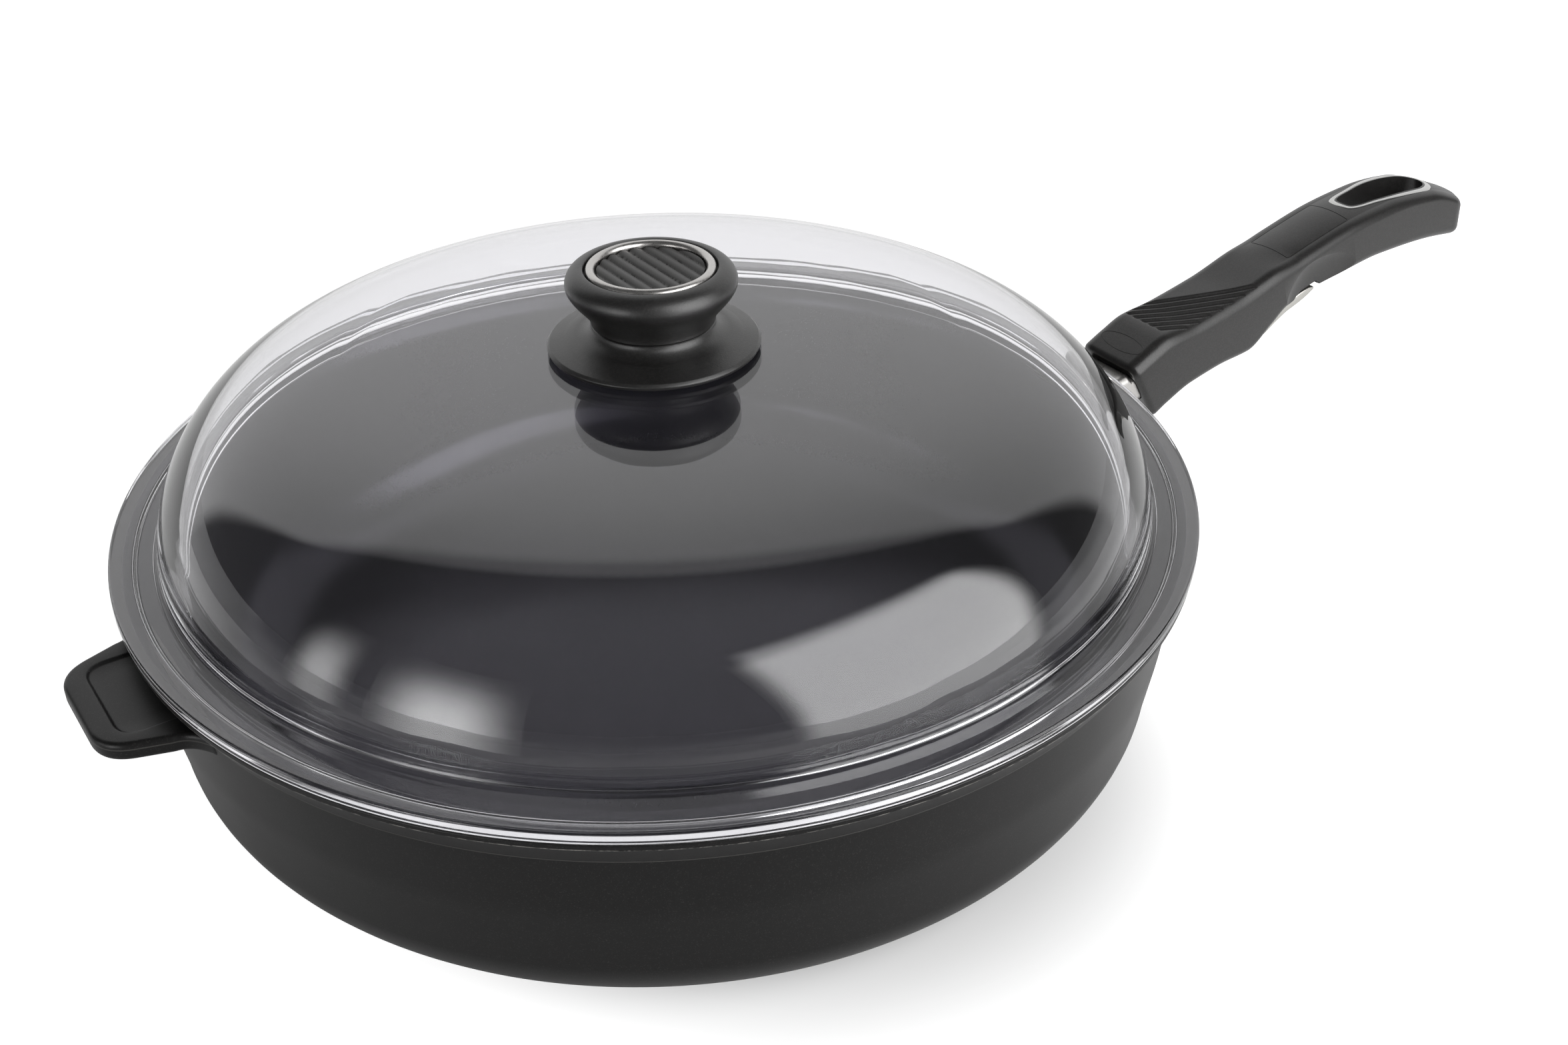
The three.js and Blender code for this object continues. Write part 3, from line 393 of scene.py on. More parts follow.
gripLook = {
    "dark": (0.0085, 0.0081, 0.0079), "pale": (0.011, 0.0105, 0.0102), "fleck": (0.048, 0.046, 0.0445),
    "fleckScale": 2600, "fleckRare": 0.25, "fleckShow": 0.26, "cloudScale": 40,
    "rough": (0.31, 0.37), "gloss": 0.52, "grainScale": 2200, "grainStrength": 0.55, "grainDepth": 0.06,
}
knobLook = {
    "dark": (0.0055, 0.0053, 0.0052), "pale": (0.0075, 0.0072, 0.007), "fleck": (0.05, 0.048, 0.046),
    "fleckScale": 2800, "fleckRare": 0.3, "fleckShow": 0.2, "cloudScale": 60,
    "rough": (0.35, 0.42), "gloss": 0.7, "grainScale": 2200, "grainStrength": 0.7, "grainDepth": 0.07,
}
insertLook = {
    "dark": (0.035, 0.034, 0.033), "pale": (0.043, 0.0418, 0.0404), "fleck": (0.1, 0.097, 0.093),
    "fleckScale": 3800, "fleckRare": 0.9, "fleckShow": 0.3, "cloudScale": 60,
    "rough": (0.44, 0.52), "gloss": 0.45, "grainScale": 3600, "grainStrength": 0.3, "grainDepth": 0.04,
}
steelLooks = {                   # colour, roughness, scale and depth of the lines, stretch of the lines
    "polishedSteel": ((0.58, 0.568, 0.55), 0.32, 90, 0.004, (1, 14, 14)),
    "brightSteel": ((0.54, 0.54, 0.53), 0.13, 160, 0.004, (1, 1, 1)),
    "satinSteel": ((0.54, 0.525, 0.51), 0.3, 900, 0.002, (1, 1, 4)),
    "pressedSteel": ((0.52, 0.51, 0.48), 0.36, 120, 0.01, (1, 12, 1)),
    "springSteel": ((0.46, 0.46, 0.47), 0.32, 140, 0.01, (1, 10, 1)),
    "zincSteel": ((0.6, 0.6, 0.6), 0.35, 700, 0.01, (1, 1, 1)),
    "bushBrass": ((0.62, 0.46, 0.2), 0.3, 500, 0.01, (1, 1, 6)),
}
steelTone = {"scale": 60, "darker": 0.94, "smoother": 0.8, "rougher": 1.2, "bump": 0.2}


def steelFinish(name, colour, rough, lineScale, lineDepth, stretch):
    finish, tree, bsdf = startFinish(name)
    coords = objectCoords(tree)
    pulled = addNode(tree, "Mapping", {"Scale": stretch, "Vector": coords}).outputs["Vector"]
    lines = noiseAt(tree, pulled, lineScale, 3, 0.6)
    tone = noiseAt(tree, coords, steelTone["scale"], 2)
    darker = tuple(c * steelTone["darker"] for c in colour)
    uneven = (rough * steelTone["smoother"], rough * steelTone["rougher"])
    feed(tree, bsdf, {"Roughness": rangeOf(tree, lines, *noiseSpan, *uneven), "Metallic": 1.0,
                      "Base Color": mixColour(tree, tone, darker, colour)})
    grainBump(tree, bsdf, lines, steelTone["bump"], lineDepth)
    return finish


glassLook = {"colour": (0.985, 0.982, 1.0), "index": 1.473, "waveScale": 38, "waveDepth": 0.03, "wave": 0.5}


def glassFinish(look):           # clear pressed glass, faintly wavy
    finish, tree, bsdf = startFinish("pressedGlass")
    feed(tree, bsdf, {"Base Color": look["colour"], "Roughness": 0.0, "IOR": look["index"],
                      "Transmission Weight": 1.0})
    waves = noiseAt(tree, objectCoords(tree), look["waveScale"], 1)
    grainBump(tree, bsdf, waves, look["wave"], look["waveDepth"])
    return finish


rubberLook = {"dark": (0.02, 0.02, 0.02), "pale": (0.045, 0.045, 0.045), "dustScale": 900, "rough": 0.75,
              "grainStrength": 0.3, "grainDepth": 0.05}


def rubberFinish(look):
    finish, tree, bsdf = startFinish("sealRubber")
    dust = noiseAt(tree, objectCoords(tree), look["dustScale"], 3)
    feed(tree, bsdf, {"Base Color": mixColour(tree, dust, look["dark"], look["pale"]),
                      "Roughness": look["rough"]})
    grainBump(tree, bsdf, dust, look["grainStrength"], look["grainDepth"])
    return finish


castCoat = coatFinish(coatLook)
insideCoat = insideFinish(insideLook)
gripMoulding = speckled("gripMoulding", gripLook)[0]
knobMoulding = speckled("knobMoulding", knobLook)[0]
insertMoulding = speckled("insertMoulding", insertLook)[0]
steels = {name: steelFinish(name, *look) for name, look in steelLooks.items()}
pressedGlass = glassFinish(glassLook)
sealRubber = rubberFinish(rubberLook)
print("finishes made:", len(bpy.data.materials))


# pan casting: turned bowl, ear with a shallow panel, boss for the bracket

panSize = {
    "rim": 163.6, "mouth": 160.0, "height": 73.5, "lipFoot": 72.1, "flareFoot": 64.5, "flareRadius": 159.2,
    "wallFoot": 154.2, "wallFootUp": 25.0, "belly": (157.3, 44.75), "bellyRound": 120, "base": 121.5,
    "wall": 4.2, "floor": 8.0, "floorEdge": 123.6, "innerFootUp": 28.0, "innerFlareRound": 14,
    "lipRounds": (0.5, 0.45, 0.4, 0.6), "flatSteps": 8, "footSteps": 18, "innerSteps": 16, "steps": 288,
}
earSize = {
    "tip": 181.4, "lip": 163.9, "lipHalf": 25.5, "tipHalf": 19.6, "corner": 13.0, "wall": 159.2,
    "bend": 25.8, "blendHalf": 33.5, "buried": 157.0, "top": 66.5, "bottom": 60.9, "edgeRound": 1.5,
    "panelTip": 174.7, "panelHalf": 17.8, "panelCorner": 6.5, "panelDepth": 0.7, "points": 150,
    "panelEdge": [(0.9, 0), (0.55, 0.06), (0.25, 0.28), (0, 0.6), (-0.3, 0.88), (-0.7, 1)],
    "floorShares": (0.7, 0.3),
}
bossSize = {
    "face": 166.5, "width": 34.0, "height": 27.0, "corner": 6.0, "centre": 49.2,
    "edgeRound": 3.0, "edgeLoss": 2.0,
    "root": [(155.2, 5.4), (156.5, 4.6), (158.5, 2.6), (160.0, 1.0), (161.5, 0.2), (163.5, 0.0)],
}


def panMesh(size):
    wall, flat = size["wall"], size["flatSteps"]
    bellyX, bellyZ = size["belly"]
    foot, innerFoot = (size["wallFoot"], size["wallFootUp"]), (size["wallFoot"] - wall, size["innerFootUp"])
    flare, lip, brim, mouth = size["lipRounds"]
    outside = [(0, 0)] + [(size["base"] * k / flat, 0) for k in range(1, flat)]
    outside += quarterArc((size["base"], 0), foot, size["footSteps"], True)
    upper = roundCorners([
        (*foot, 0), (bellyX, bellyZ, size["bellyRound"]), (size["flareRadius"], size["flareFoot"], flare),
        (size["rim"], size["lipFoot"], lip), (size["rim"], size["height"], brim),
        (size["mouth"], size["height"], mouth),
        (size["flareRadius"] - wall, size["flareFoot"], size["innerFlareRound"]),
        (bellyX - wall, bellyZ, size["bellyRound"]), (*innerFoot, 0),
    ])
    inside = quarterArc((size["floorEdge"], size["floor"]), innerFoot, size["innerSteps"], True)[::-1]
    inside += [(size["floorEdge"] * k / flat, size["floor"]) for k in range(flat - 1, -1, -1)]
    outline = outside + upper[1:-1] + inside
    bm = bmesh.new()
    rings = spinRings(bm, outline, size["steps"])
    lipTop = max(i for i, point in enumerate(outline) if point[1] > size["height"] - 0.01)
    for i, (first, second) in enumerate(zip(rings, rings[1:])):
        for face in bridge(bm, first, second):
            face.material_index = 1 if i >= lipTop else 0
    return bm


def earPath(size):               # open path in plan, from one side of the wall round the tip to the other
    half = size["blendHalf"]
    foot = (-math.sqrt(size["wall"] ** 2 - half ** 2), -half)
    side = (-size["lip"], -size["lipHalf"])
    sweep = [curve(foot, (-size["wall"], -size["bend"]), side, k / 12) for k in range(12)]
    tip = roundCorners([
        (*side, 0), (-size["tip"], -size["tipHalf"], size["corner"]),
        (-size["tip"], size["tipHalf"], size["corner"]), (side[0], -side[1], 0)], steps=12)
    buried = math.sqrt(size["buried"] ** 2 - half ** 2)
    back = [(x, -y) for x, y in sweep[::-1]]
    return resample([(-buried, -half)] + sweep + tip + back + [(-buried, half)], size["points"])


def panelPath(size):             # outline of the shallow panel, open towards the wall
    half, tip, corner = size["panelHalf"], size["panelTip"], size["panelCorner"]
    root = -math.sqrt(size["buried"] ** 2 - half ** 2)
    path = [(root, -half, 0), (-tip, -half, corner), (-tip, half, corner), (root, half, 0)]
    return resample(roundCorners(path, steps=10), size["points"])


def grownPath(path, grow):       # open path moved outwards by this much
    out = []
    for i, (x, y) in enumerate(path):
        back, ahead = path[max(0, i - 1)], path[min(len(path) - 1, i + 1)]
        way = Vector((ahead[0] - back[0], ahead[1] - back[1])).normalized()
        out.append((x - way.y * grow, y + way.x * grow))
    return out


def addEar(bm, size):
    outer, panel = earPath(size), panelPath(size)
    edge, top, depth = size["edgeRound"], size["top"], size["panelDepth"]
    loops = []
    for angle in quarterTurns(6):                    # lower edge, rounded
        path = grownPath(outer, -(1 - math.sin(angle)) * edge)
        loops.append((path, size["bottom"] + (1 - math.cos(angle)) * edge))
    for angle in quarterTurns(6):                    # upper edge, rounded
        path = grownPath(outer, -(1 - math.cos(angle)) * edge)
        loops.append((path, top - (1 - math.sin(angle)) * edge))
    for grow, drop in size["panelEdge"]:
        loops.append((grownPath(panel, grow), top - drop * depth))
    floor = loops[-1][0]
    middle = (floor[0][0] + floor[len(floor) // 2][0]) / 2
    for share in size["floorShares"]:                # flat floor of the panel
        loops.append(([(blend(middle, x, share), y * share) for x, y in floor], top - depth))
    joinRings(bm, [ringOf(bm, [(x, y, height) for x, y in path]) for path, height in loops])


def addBoss(bm, size):
    spans = list(size["root"])
    for angle in quarterTurns(6)[1:]:
        spans.append((size["face"] - size["edgeRound"] * (1 - math.sin(angle)),
                      -size["edgeLoss"] * (1 - math.cos(angle))))
    rings = []
    for along, grown in spans:
        shape = roundRect(size["width"] + grown, size["height"] + grown, size["corner"] + grown / 4)
        rings.append(ringOf(bm, [(along, y, size["centre"] + z) for y, z in shape]))
    joinRings(bm, rings)


castBowl = panMesh(panSize)
addEar(castBowl, earSize)
addBoss(castBowl, bossSize)
panCasting = place("panCasting", meshFrom("panCasting", castBowl, 40), "pan", ["pan_body"], "cast_coating",
                   castCoat, insideCoat)
print("pan casting:", len(panCasting.data.polygons), "faces")


# bracket: foot plate and box tongue, in the tongue's own directions

bracketSize = {
    "footFace": 169.8, "footThick": 3.0, "footWidth": 27.6, "footHeight": 20.6, "footCorner": 4.8,
    "backEdge": [(0, 0.5), (0.15, 0.15), (0.5, 0)],
    "faceEdge": [(-0.9, 0), (-0.4, 0.2), (-0.1, 0.6), (0, 1.0)],
    "root": 49.2, "tilt": 10.0, "width": 24.0, "height": 12.0, "corner": 3.2, "wall": 1.8, "length": 69.0,
    "neckRoot": [(-1.0, 1.0), (0.2, 0.9), (0.8, 0.45), (1.5, 0.12), (2.4, 0)], "plainFrom": 30.0,
    "collarLift": 1.7, "collarTo": 22.2,             # the neck stands a little higher up to the grip's mouth
    "collarEnd": [(-1.2, 1), (-0.6, 0.85), (0, 0.5), (0.5, 0.15), (0.9, 0)],
    "tipEdge": [(-0.6, 0), (-0.2, -0.12), (0, -0.45)], "boreEdge": (0.3, 0.4), "boreFrom": 2.0,
    "window": ((56.0, -5.5, 3.0), (65.0, 5.5, 9.0)),
}
tongueFrame = tiltFrame(bracketSize["footFace"], bracketSize["root"], bracketSize["tilt"])


def bracketMesh(size):
    bm = bmesh.new()
    face, back = size["footFace"], size["footFace"] - size["footThick"]
    plate = [(back + x, lost) for x, lost in size["backEdge"]]
    plate += [(face + x, lost) for x, lost in size["faceEdge"]]
    rings = []
    for x, lost in plate:
        shape = roundRect(size["footWidth"] - 2 * lost, size["footHeight"] - 2 * lost,
                          size["footCorner"] - lost)
        rings.append(ringOf(bm, [(x, y, size["root"] + z) for y, z in shape]))
    joinRings(bm, rings)
    lift, long, wall = size["collarLift"], size["length"], size["wall"]
    thin, short = size["boreEdge"]
    tube = [(along, grown, lift) for along, grown in size["neckRoot"]]
    tube += [(size["collarTo"] + along, 0, lift * share) for along, share in size["collarEnd"]]
    tube += [(size["plainFrom"], 0, 0)] + [(long + along, grown, 0) for along, grown in size["tipEdge"]]
    tube += [(long, thin - wall, 0), (long - short, -wall, 0), (size["boreFrom"], -wall, 0)]
    rings = []
    for along, grown, raised in tube:
        width, height = size["width"] + 2 * grown, size["height"] + 2 * grown + raised
        shape = roundRect(width, height, size["corner"] + grown, 10)
        rings.append(ringOf(bm, [(along, y, z + raised / 2) for y, z in shape], tongueFrame))
    joinRings(bm, rings)
    return meshFrom("bracketSteel", bm)


bracketSteel = place("bracketSteel", bracketMesh(bracketSize), "pan", ["handle_bracket"], "polished_steel",
                     steels["polishedSteel"])
cutAway(bracketSteel, [boxCutter("catchWindow", *bracketSize["window"], tongueFrame)])
dressNode("bracket_screw_left", steels["zincSteel"])
dressNode("bracket_screw_right", steels["zincSteel"])
print("bracket:", len(bracketSteel.data.polygons), "faces")


# grip: a loft in the tongue's directions, thumb grooves pressed into its top

gripSize = {
    "x": 194.913, "z": 53.628, "tilt": 10.0, "half": 14.5, "topRound": 5.0, "underRound": 4.0,
    "mouthRound": 2.2, "endRound": 8.0, "tailSquare": 2.4, "tailSharp": 0.75, "tailFrom": 172.0, "endEdge": 2.2,
    "top": [(-3.8, 10.7), (6, 13.6), (15.8, 15.7), (30, 14.9), (50, 15.4), (70, 17.7), (92, 20.1), (114, 21.3),
            (136, 20.1), (160, 15), (180, 4)],
    "under": [(5.7, -15.6), (13.8, -12.8), (26, -10.1), (40, -9.6), (55.7, -10.7), (67.7, -5.1), (77, -0.5),
              (92.5, 0.8), (109, 0.5), (121.7, 0), (137, -2.1), (155, -5.6), (178, -12.3)],
    "fineStep": 0.34, "fineFrom": 14.0, "fineTo": 68.0, "coarseStep": 0.9, "tailSections": 22,
    "edgeSections": 8, "crownFrom": 70.0, "crownTo": 84.0, "crownRadius": 36.0,
    "topPoints": 64, "underPoints": 14, "topTurn": 18, "underTurn": 8,
}
grooveSize = {"count": 7, "first": 27.6, "pitch": 5.85, "slope": 0.7, "depth": 0.95, "near": 14.0,
              "from": 16.0, "lead": 1.1}
engraveSize = {                  # plain outlines let into the top
    "ovalAt": 4.2, "ovalAlong": 3.4, "ovalAcross": 10.2, "ovalPoints": 96, "panelFrom": 80.5, "panelTo": 113.4,
    "panelHalf": 9.3, "panelCorner": 0.8, "panelPoints": 16, "width": 0.34, "depth": 0.12, "above": 3.0,
}
socketSize = {"width": 24.8, "height": 12.8, "corner": 3.6, "start": -8.0, "end": 43.9}
ringSize = {
    "front": 117.4, "length": 50.6, "half": 10.8, "band": 3.0, "depth": 4.0, "proud": 1.0, "sink": 0.75,
    "gap": 0.3, "foot": 0.15, "above": 4.0, "holeFoot": -20.0, "holeTop": 30.0, "turns": 14, "steps": 7,
    "outline": [(0, 0), (0.006, 0.3), (0.03, 0.52), (0.11, 0.68), (0.26, 0.79), (0.37, 0.89), (0.5, 0.965),
                (0.71, 1), (0.86, 0.91), (0.96, 0.56), (1, 0)],   # shares of length and half width
}
leverSize = {
    "half": 9.5, "paddleHalf": 11.8, "paddleFrom": 66.0, "joinTo": 70.0, "joinTop": -1.7, "tip": 92.9,
    "low": [(62.0, -9.9), (68.0, -7.1), (73.6, -4.9), (78.3, -3.5), (83.6, -2.7), (88.6, -1.6), (92.0, -0.4)],
    "high": [(92.0, 1.3), (91.1, 1.5), (88.5, 1.6), (85.5, 1.4), (81.1, 0.6), (78.3, 0.2), (73.6, -1.9)],
    "pivot": (58.0, -3.4), "eye": 4.3, "nose": 46.6, "leafUnder": 6.7, "points": 24, "bladeRound": 0.3,
    "paddleRound": 0.45, "pinRadius": 2.4, "pinLength": 24.0,
    "noseBend": [(2, -0.4), (1, 0.3), (0, -1.2)],
}
pocketSize = {                   # room for the lever in the grip
    "room": 1.0, "gap": 0.4, "roof": 10.7, "front": 43.5, "frontFoot": -6.0, "foot": -16.0, "tipRoof": 3.4,
    "wideRoof": (1.1, 3.3), "leafBay": ((7.7, -4.9, 0), (44.3, 4.9, 10.7)), "bayWidth": 40.0,
    "bay": [(79.2, -8), (80.2, 0.3), (82.5, 1.7), (85.5, 2.5), (89, 2.6), (93.2, 2.7),
            (95.0, 2.5), (95.8, 1.6), (96.0, -8)],
}
hollowSize = {"middle": (90.0, 17.1, 1.0), "front": 17.3, "rear": 27.0, "across": 5.2, "up": 16.0}


def follow(points, along):       # smooth height along an edge, never past its points
    slopes = [(b[1] - a[1]) / (b[0] - a[0]) for a, b in zip(points, points[1:])]
    lean = [slopes[0]]
    for a, b in zip(slopes, slopes[1:]):
        lean.append(2 * a * b / (a + b) if a * b > 0 else 0.0)
    lean.append(slopes[-1])
    i = max(0, min(len(slopes) - 1, sum(1 for p in points if p[0] <= along) - 1))
    span = points[i + 1][0] - points[i][0]
    t = min(1.0, max(0.0, (along - points[i][0]) / span))
    return (points[i][1] * (2 * t ** 3 - 3 * t ** 2 + 1) + points[i + 1][1] * (3 * t ** 2 - 2 * t ** 3)
            + span * (lean[i] * (t ** 3 - 2 * t ** 2 + t) + lean[i + 1] * (t ** 3 - t ** 2)))


def gripOutline(size, half, height, topRound, underRound):   # (across, up, share that faces up) of one section
    last = size["topPoints"] - 1
    out = [(blend(half - topRound, -half + topRound, k / last), height, 1) for k in range(last + 1)]
    corners = ((-1, height - topRound, topRound, 0.5), (-1, underRound, underRound, 1.0),
               (1, underRound, underRound, 1.5), (1, height - topRound, topRound, 2.0))
    for n, (side, level, radius, turn) in enumerate(corners):
        steps = size["topTurn"] if n in (0, 3) else size["underTurn"]
        for k in range(n == 0, steps + (n < 3)):     # the top's own end points aren't repeated
            angle = (turn + 0.5 * k / steps) * math.pi
            out.append((side * (half - radius) + radius * math.cos(angle), level + radius * math.sin(angle),
                        math.sin(angle)))
        if n == 1:
            count = size["underPoints"]
            out += [(blend(-half + underRound, half - underRound, k / count), 0, -1) for k in range(1, count)]
    return out


def pressGrooves(size, along, across):               # depth of the thumb grooves, valleys between soft ridges
    order = (along + (across + size["near"]) / size["slope"] - size["first"]) / size["pitch"]
    nearest = min(size["count"] - 1, max(0, round(order)))
    off = min(0.5, abs(order - nearest))
    valley = 0.5 + 0.5 * math.cos(math.tau * off)
    return size["depth"] * valley * ease(along, size["from"], size["from"] + size["lead"])


def crownDrop(size, along, across):                  # how far the crowned top falls towards its sides
    reach = min(abs(across), size["half"] - size["topRound"])
    return ease(along, size["crownFrom"], size["crownTo"]) / size["crownRadius"] * reach ** 2 / 2


def sectionShares(size, start, end):                 # finer steps where the grooves are
    span = size["top"][-1][0] - size["top"][0][0]
    shares = [start]
    while True:
        along = size["top"][0][0] + shares[-1] * span
        step = size["fineStep"] if size["fineFrom"] < along < size["fineTo"] else size["coarseStep"]
        if shares[-1] + step / span >= end:
            return shares
        shares.append(shares[-1] + step / span)


def gripCuts(size, long):        # (share of the length, inset of the section), from mouth to end
    mouth, end = size["mouthRound"], size["endEdge"]
    tailShare, endShare = (size["tailFrom"] - size["top"][0][0]) / long, 1 - end / long
    turns = quarterTurns(size["edgeSections"])
    cuts = [(mouth * (1 - math.cos(a)) / long, mouth * (1 - math.sin(a))) for a in turns[:-1]]
    cuts += [(share, 0) for share in sectionShares(size, mouth / long, tailShare)]
    cuts += [(blend(tailShare, endShare, math.sin(a)), 0) for a in quarterTurns(size["tailSections"])]
    return cuts + [(blend(endShare, 1, math.sin(a)), end * (1 - math.cos(a))) for a in turns[1:]]


def gripMesh(size, groove, placed):
    topFrom, topTo = size["top"][0][0], size["top"][-1][0]
    underFrom, underTo = size["under"][0][0], size["under"][-1][0]
    square = size["tailSquare"]
    rings = []
    for share, inset in gripCuts(size, topTo - topFrom):
        topAlong, underAlong = blend(topFrom, topTo, share), blend(underFrom, underTo, share)
        into = max(0.0, (topAlong - size["tailFrom"]) / size["endRound"])
        half = size["half"] * (1 - size["tailSharp"] * into ** square) ** (1 / square) - inset
        top = Vector((topAlong, 0, follow(size["top"], topAlong)))
        under = Vector((underAlong, 0, follow(size["under"], underAlong)))
        up = top - under
        height = up.length - 2 * inset
        up.normalize()
        under += up * inset
        rounds = [min(size[key], half * 0.9) - inset * 0.6 for key in ("topRound", "underRound")]
        ring = []
        for y, h, lift in gripOutline(size, half, height, *rounds):
            point = under + up * h
            if lift > 0.02:
                groovy = max(0.0, pressGrooves(groove, point.x, y) - (height - h))
                point -= up * (groovy + crownDrop(size, topAlong, y) * lift)
            ring.append((point.x, y, point.z))
        rings.append(ring)
    return loftMesh("gripShell", rings, placed, sharp=32)


def ringPath(size, inset):       # closed outline: a blunt nose that widens towards a rounded tail
    long, half = size["length"] - 2 * inset, size["half"] - inset
    points = [(size["front"] + inset + share * long, -width * half) for share, width in size["outline"]]
    points = [(points[1][0], -points[1][1])] + points + [(points[-2][0], -points[-2][1])]
    side = []
    for a, b, c, d in zip(points, points[1:], points[2:], points[3:]):
        for t in (k / size["steps"] for k in range(size["steps"])):
            side.append(tuple(
                0.5 * (2 * q + (r - p) * t + (2 * p - 5 * q + 4 * r - s) * t * t
                       + (3 * q - p - 3 * r + s) * t ** 3)
                for p, q, r, s in zip(a, b, c, d)))
    side.append(points[-2])
    return side + [(x, -y) for x, y in side[-2:0:-1]]


def hollowCutter(name, size, side, frameIn):         # egg with a long rear end, for the finger hollow
    x, y, z = size["middle"]
    bm = bmesh.new()
    bmesh.ops.create_uvsphere(bm, u_segments=128, v_segments=64, radius=1)
    for vert in bm.verts:
        reach = size["front"] if vert.co.x < 0 else size["rear"]
        spot = (x + vert.co.x * reach, side * y + vert.co.y * size["across"], z + vert.co.z * size["up"])
        vert.co = frameIn @ (Vector(spot) * mm)
    return bpy.data.objects.new(name, meshFrom(name, bm))


def gripCutters(lever, pocket, socket, ring, placed):
    px, pz = lever["pivot"]
    eye, room, foot, roof = lever["eye"], pocket["room"], pocket["foot"], pocket["roof"]
    tip, wideFrom = lever["tip"] + room, lever["paddleFrom"] - room
    blade = [(pocket["front"], roof), (px, roof), (px + eye + room, pz + eye), (tip, pocket["tipRoof"]),
             (tip, foot), (px - eye, foot), (px - eye - room, pz - eye - room),
             (pocket["front"], pocket["frontFoot"])]
    wide = [(wideFrom, pocket["wideRoof"][0]), (tip, pocket["wideRoof"][1]), (tip, foot), (wideFrom, foot)]
    tunnel = roundRect(socket["width"], socket["height"], socket["corner"])
    hole = ringPath(ring, ring["band"] + ring["gap"])
    socketRings = [[(along, y, z) for y, z in tunnel] for along in (socket["start"], socket["end"])]
    holeRings = [[(x, y, level) for x, y in hole] for level in (ring["holeFoot"], ring["holeTop"])]
    return [
        cutter("socketCut", socketRings, placed),
        boxCutter("leafCut", *pocket["leafBay"], placed),
        cutter("leverCut", sideRings(blade, 2 * (lever["half"] + pocket["gap"])), placed),
        cutter("paddleCut", sideRings(wide, 2 * (lever["paddleHalf"] + pocket["gap"])), placed),
        cutter("bayCut", sideRings(pocket["bay"], pocket["bayWidth"]), placed),
        cutter("holeCut", holeRings, placed),
        hollowCutter("nearHollow", hollowSize, -1, placed),
        hollowCutter("farHollow", hollowSize, 1, placed),
    ]


def bandMesh(name, outer, inner, profile, grip, placed):     # closed band that lies along the grip's top
    rings = []
    for a, b in zip(outer, inner):
        levels = [follow(grip["top"], along) - crownDrop(grip, along, across) for along, across in (a, b)]
        rings.append([(blend(a[0], b[0], s), blend(a[1], b[1], s), blend(*levels, s) + h) for s, h in profile])
    return loftMesh(name, rings, placed, endless=True, sharp=50)


def ringProfile(size):           # share across the band and height over the grip's top
    foot, low = size["proud"] - size["depth"] - size["sink"], size["foot"]
    profile = [(0, foot)]
    for k in range(size["turns"] + 1):
        angle = math.pi * k / size["turns"]
        crest = size["proud"] * (low + (1 - low) * math.sin(angle)) - size["sink"]
        profile.append((0.5 - 0.5 * math.cos(angle), crest))
    return profile + [(1, foot)]


def openProfile(foot, above):    # groove with an open top
    return [(0, foot), (0, above), (1, above), (1, foot)]


def ringSeat(size, grip, placed):                    # groove that the ring sits in
    gap = size["gap"]
    profile = openProfile(size["proud"] - size["depth"] - size["sink"] - gap, size["above"])
    outer, inner = ringPath(size, -gap), ringPath(size, size["band"] + gap)
    return bpy.data.objects.new("ringSeat", bandMesh("ringSeat", outer, inner, profile, grip, placed))


def spread(start, end, count):   # long sides get points between, short ones none
    if math.dist(start, end) < 3:
        return [start]
    return [(blend(start[0], end[0], k / count), blend(start[1], end[1], k / count)) for k in range(count)]


def engravedLines(size, grip, placed):
    half, count = size["width"] / 2, size["ovalPoints"]
    long, middle = size["panelTo"] - size["panelFrom"], (size["panelTo"] + size["panelFrom"]) / 2
    ovals, panels = [], []
    for grow in (half, -half):
        along, across = size["ovalAlong"] + grow, size["ovalAcross"] + grow
        turns = [k / count * math.tau for k in range(count)]
        ovals.append([(size["ovalAt"] + along * math.cos(a), across * math.sin(a)) for a in turns])
        border = roundRect(long + 2 * grow, 2 * (size["panelHalf"] + grow), size["panelCorner"] + grow, 5)
        sides = zip(border, border[1:] + border[:1])
        panels.append([(middle + x, y) for a, b in sides for x, y in spread(a, b, size["panelPoints"])])
    profile = openProfile(-size["depth"], size["above"])
    return [bpy.data.objects.new(name, bandMesh(name, *lines, profile, grip, placed))
            for name, lines in (("ovalLine", ovals), ("panelLine", panels))]


gripFrame = tiltFrame(gripSize["x"], gripSize["z"], gripSize["tilt"])
gripShell = place("gripShell", gripMesh(gripSize, grooveSize, gripFrame), "handle", ["handle_grip"],
                  "grip_moulding", gripMoulding)
cutAway(gripShell, gripCutters(leverSize, pocketSize, socketSize, ringSize, gripFrame)
        + [ringSeat(ringSize, gripSize, gripFrame)] + engravedLines(engraveSize, gripSize, gripFrame))
print("grip:", len(gripShell.data.polygons), "faces")

ringBand = bandMesh("hangRing", ringPath(ringSize, 0), ringPath(ringSize, ringSize["band"]),
                    ringProfile(ringSize), gripSize, gripFrame)
hangRing = place("hangRing", ringBand, "handle", ["hang_ring"], "bright_steel", steels["brightSteel"])
print("hanging ring:", len(hangRing.data.polygons), "faces")


# release lever, pin and catch leaf

def eyeArc(size, start, end):    # part of the eye round the pin, angles in radians
    px, pz = size["pivot"]
    turns = [blend(start, end, k / 8) for k in range(9)]
    return [(px + size["eye"] * math.cos(a), pz + size["eye"] * math.sin(a)) for a in turns]


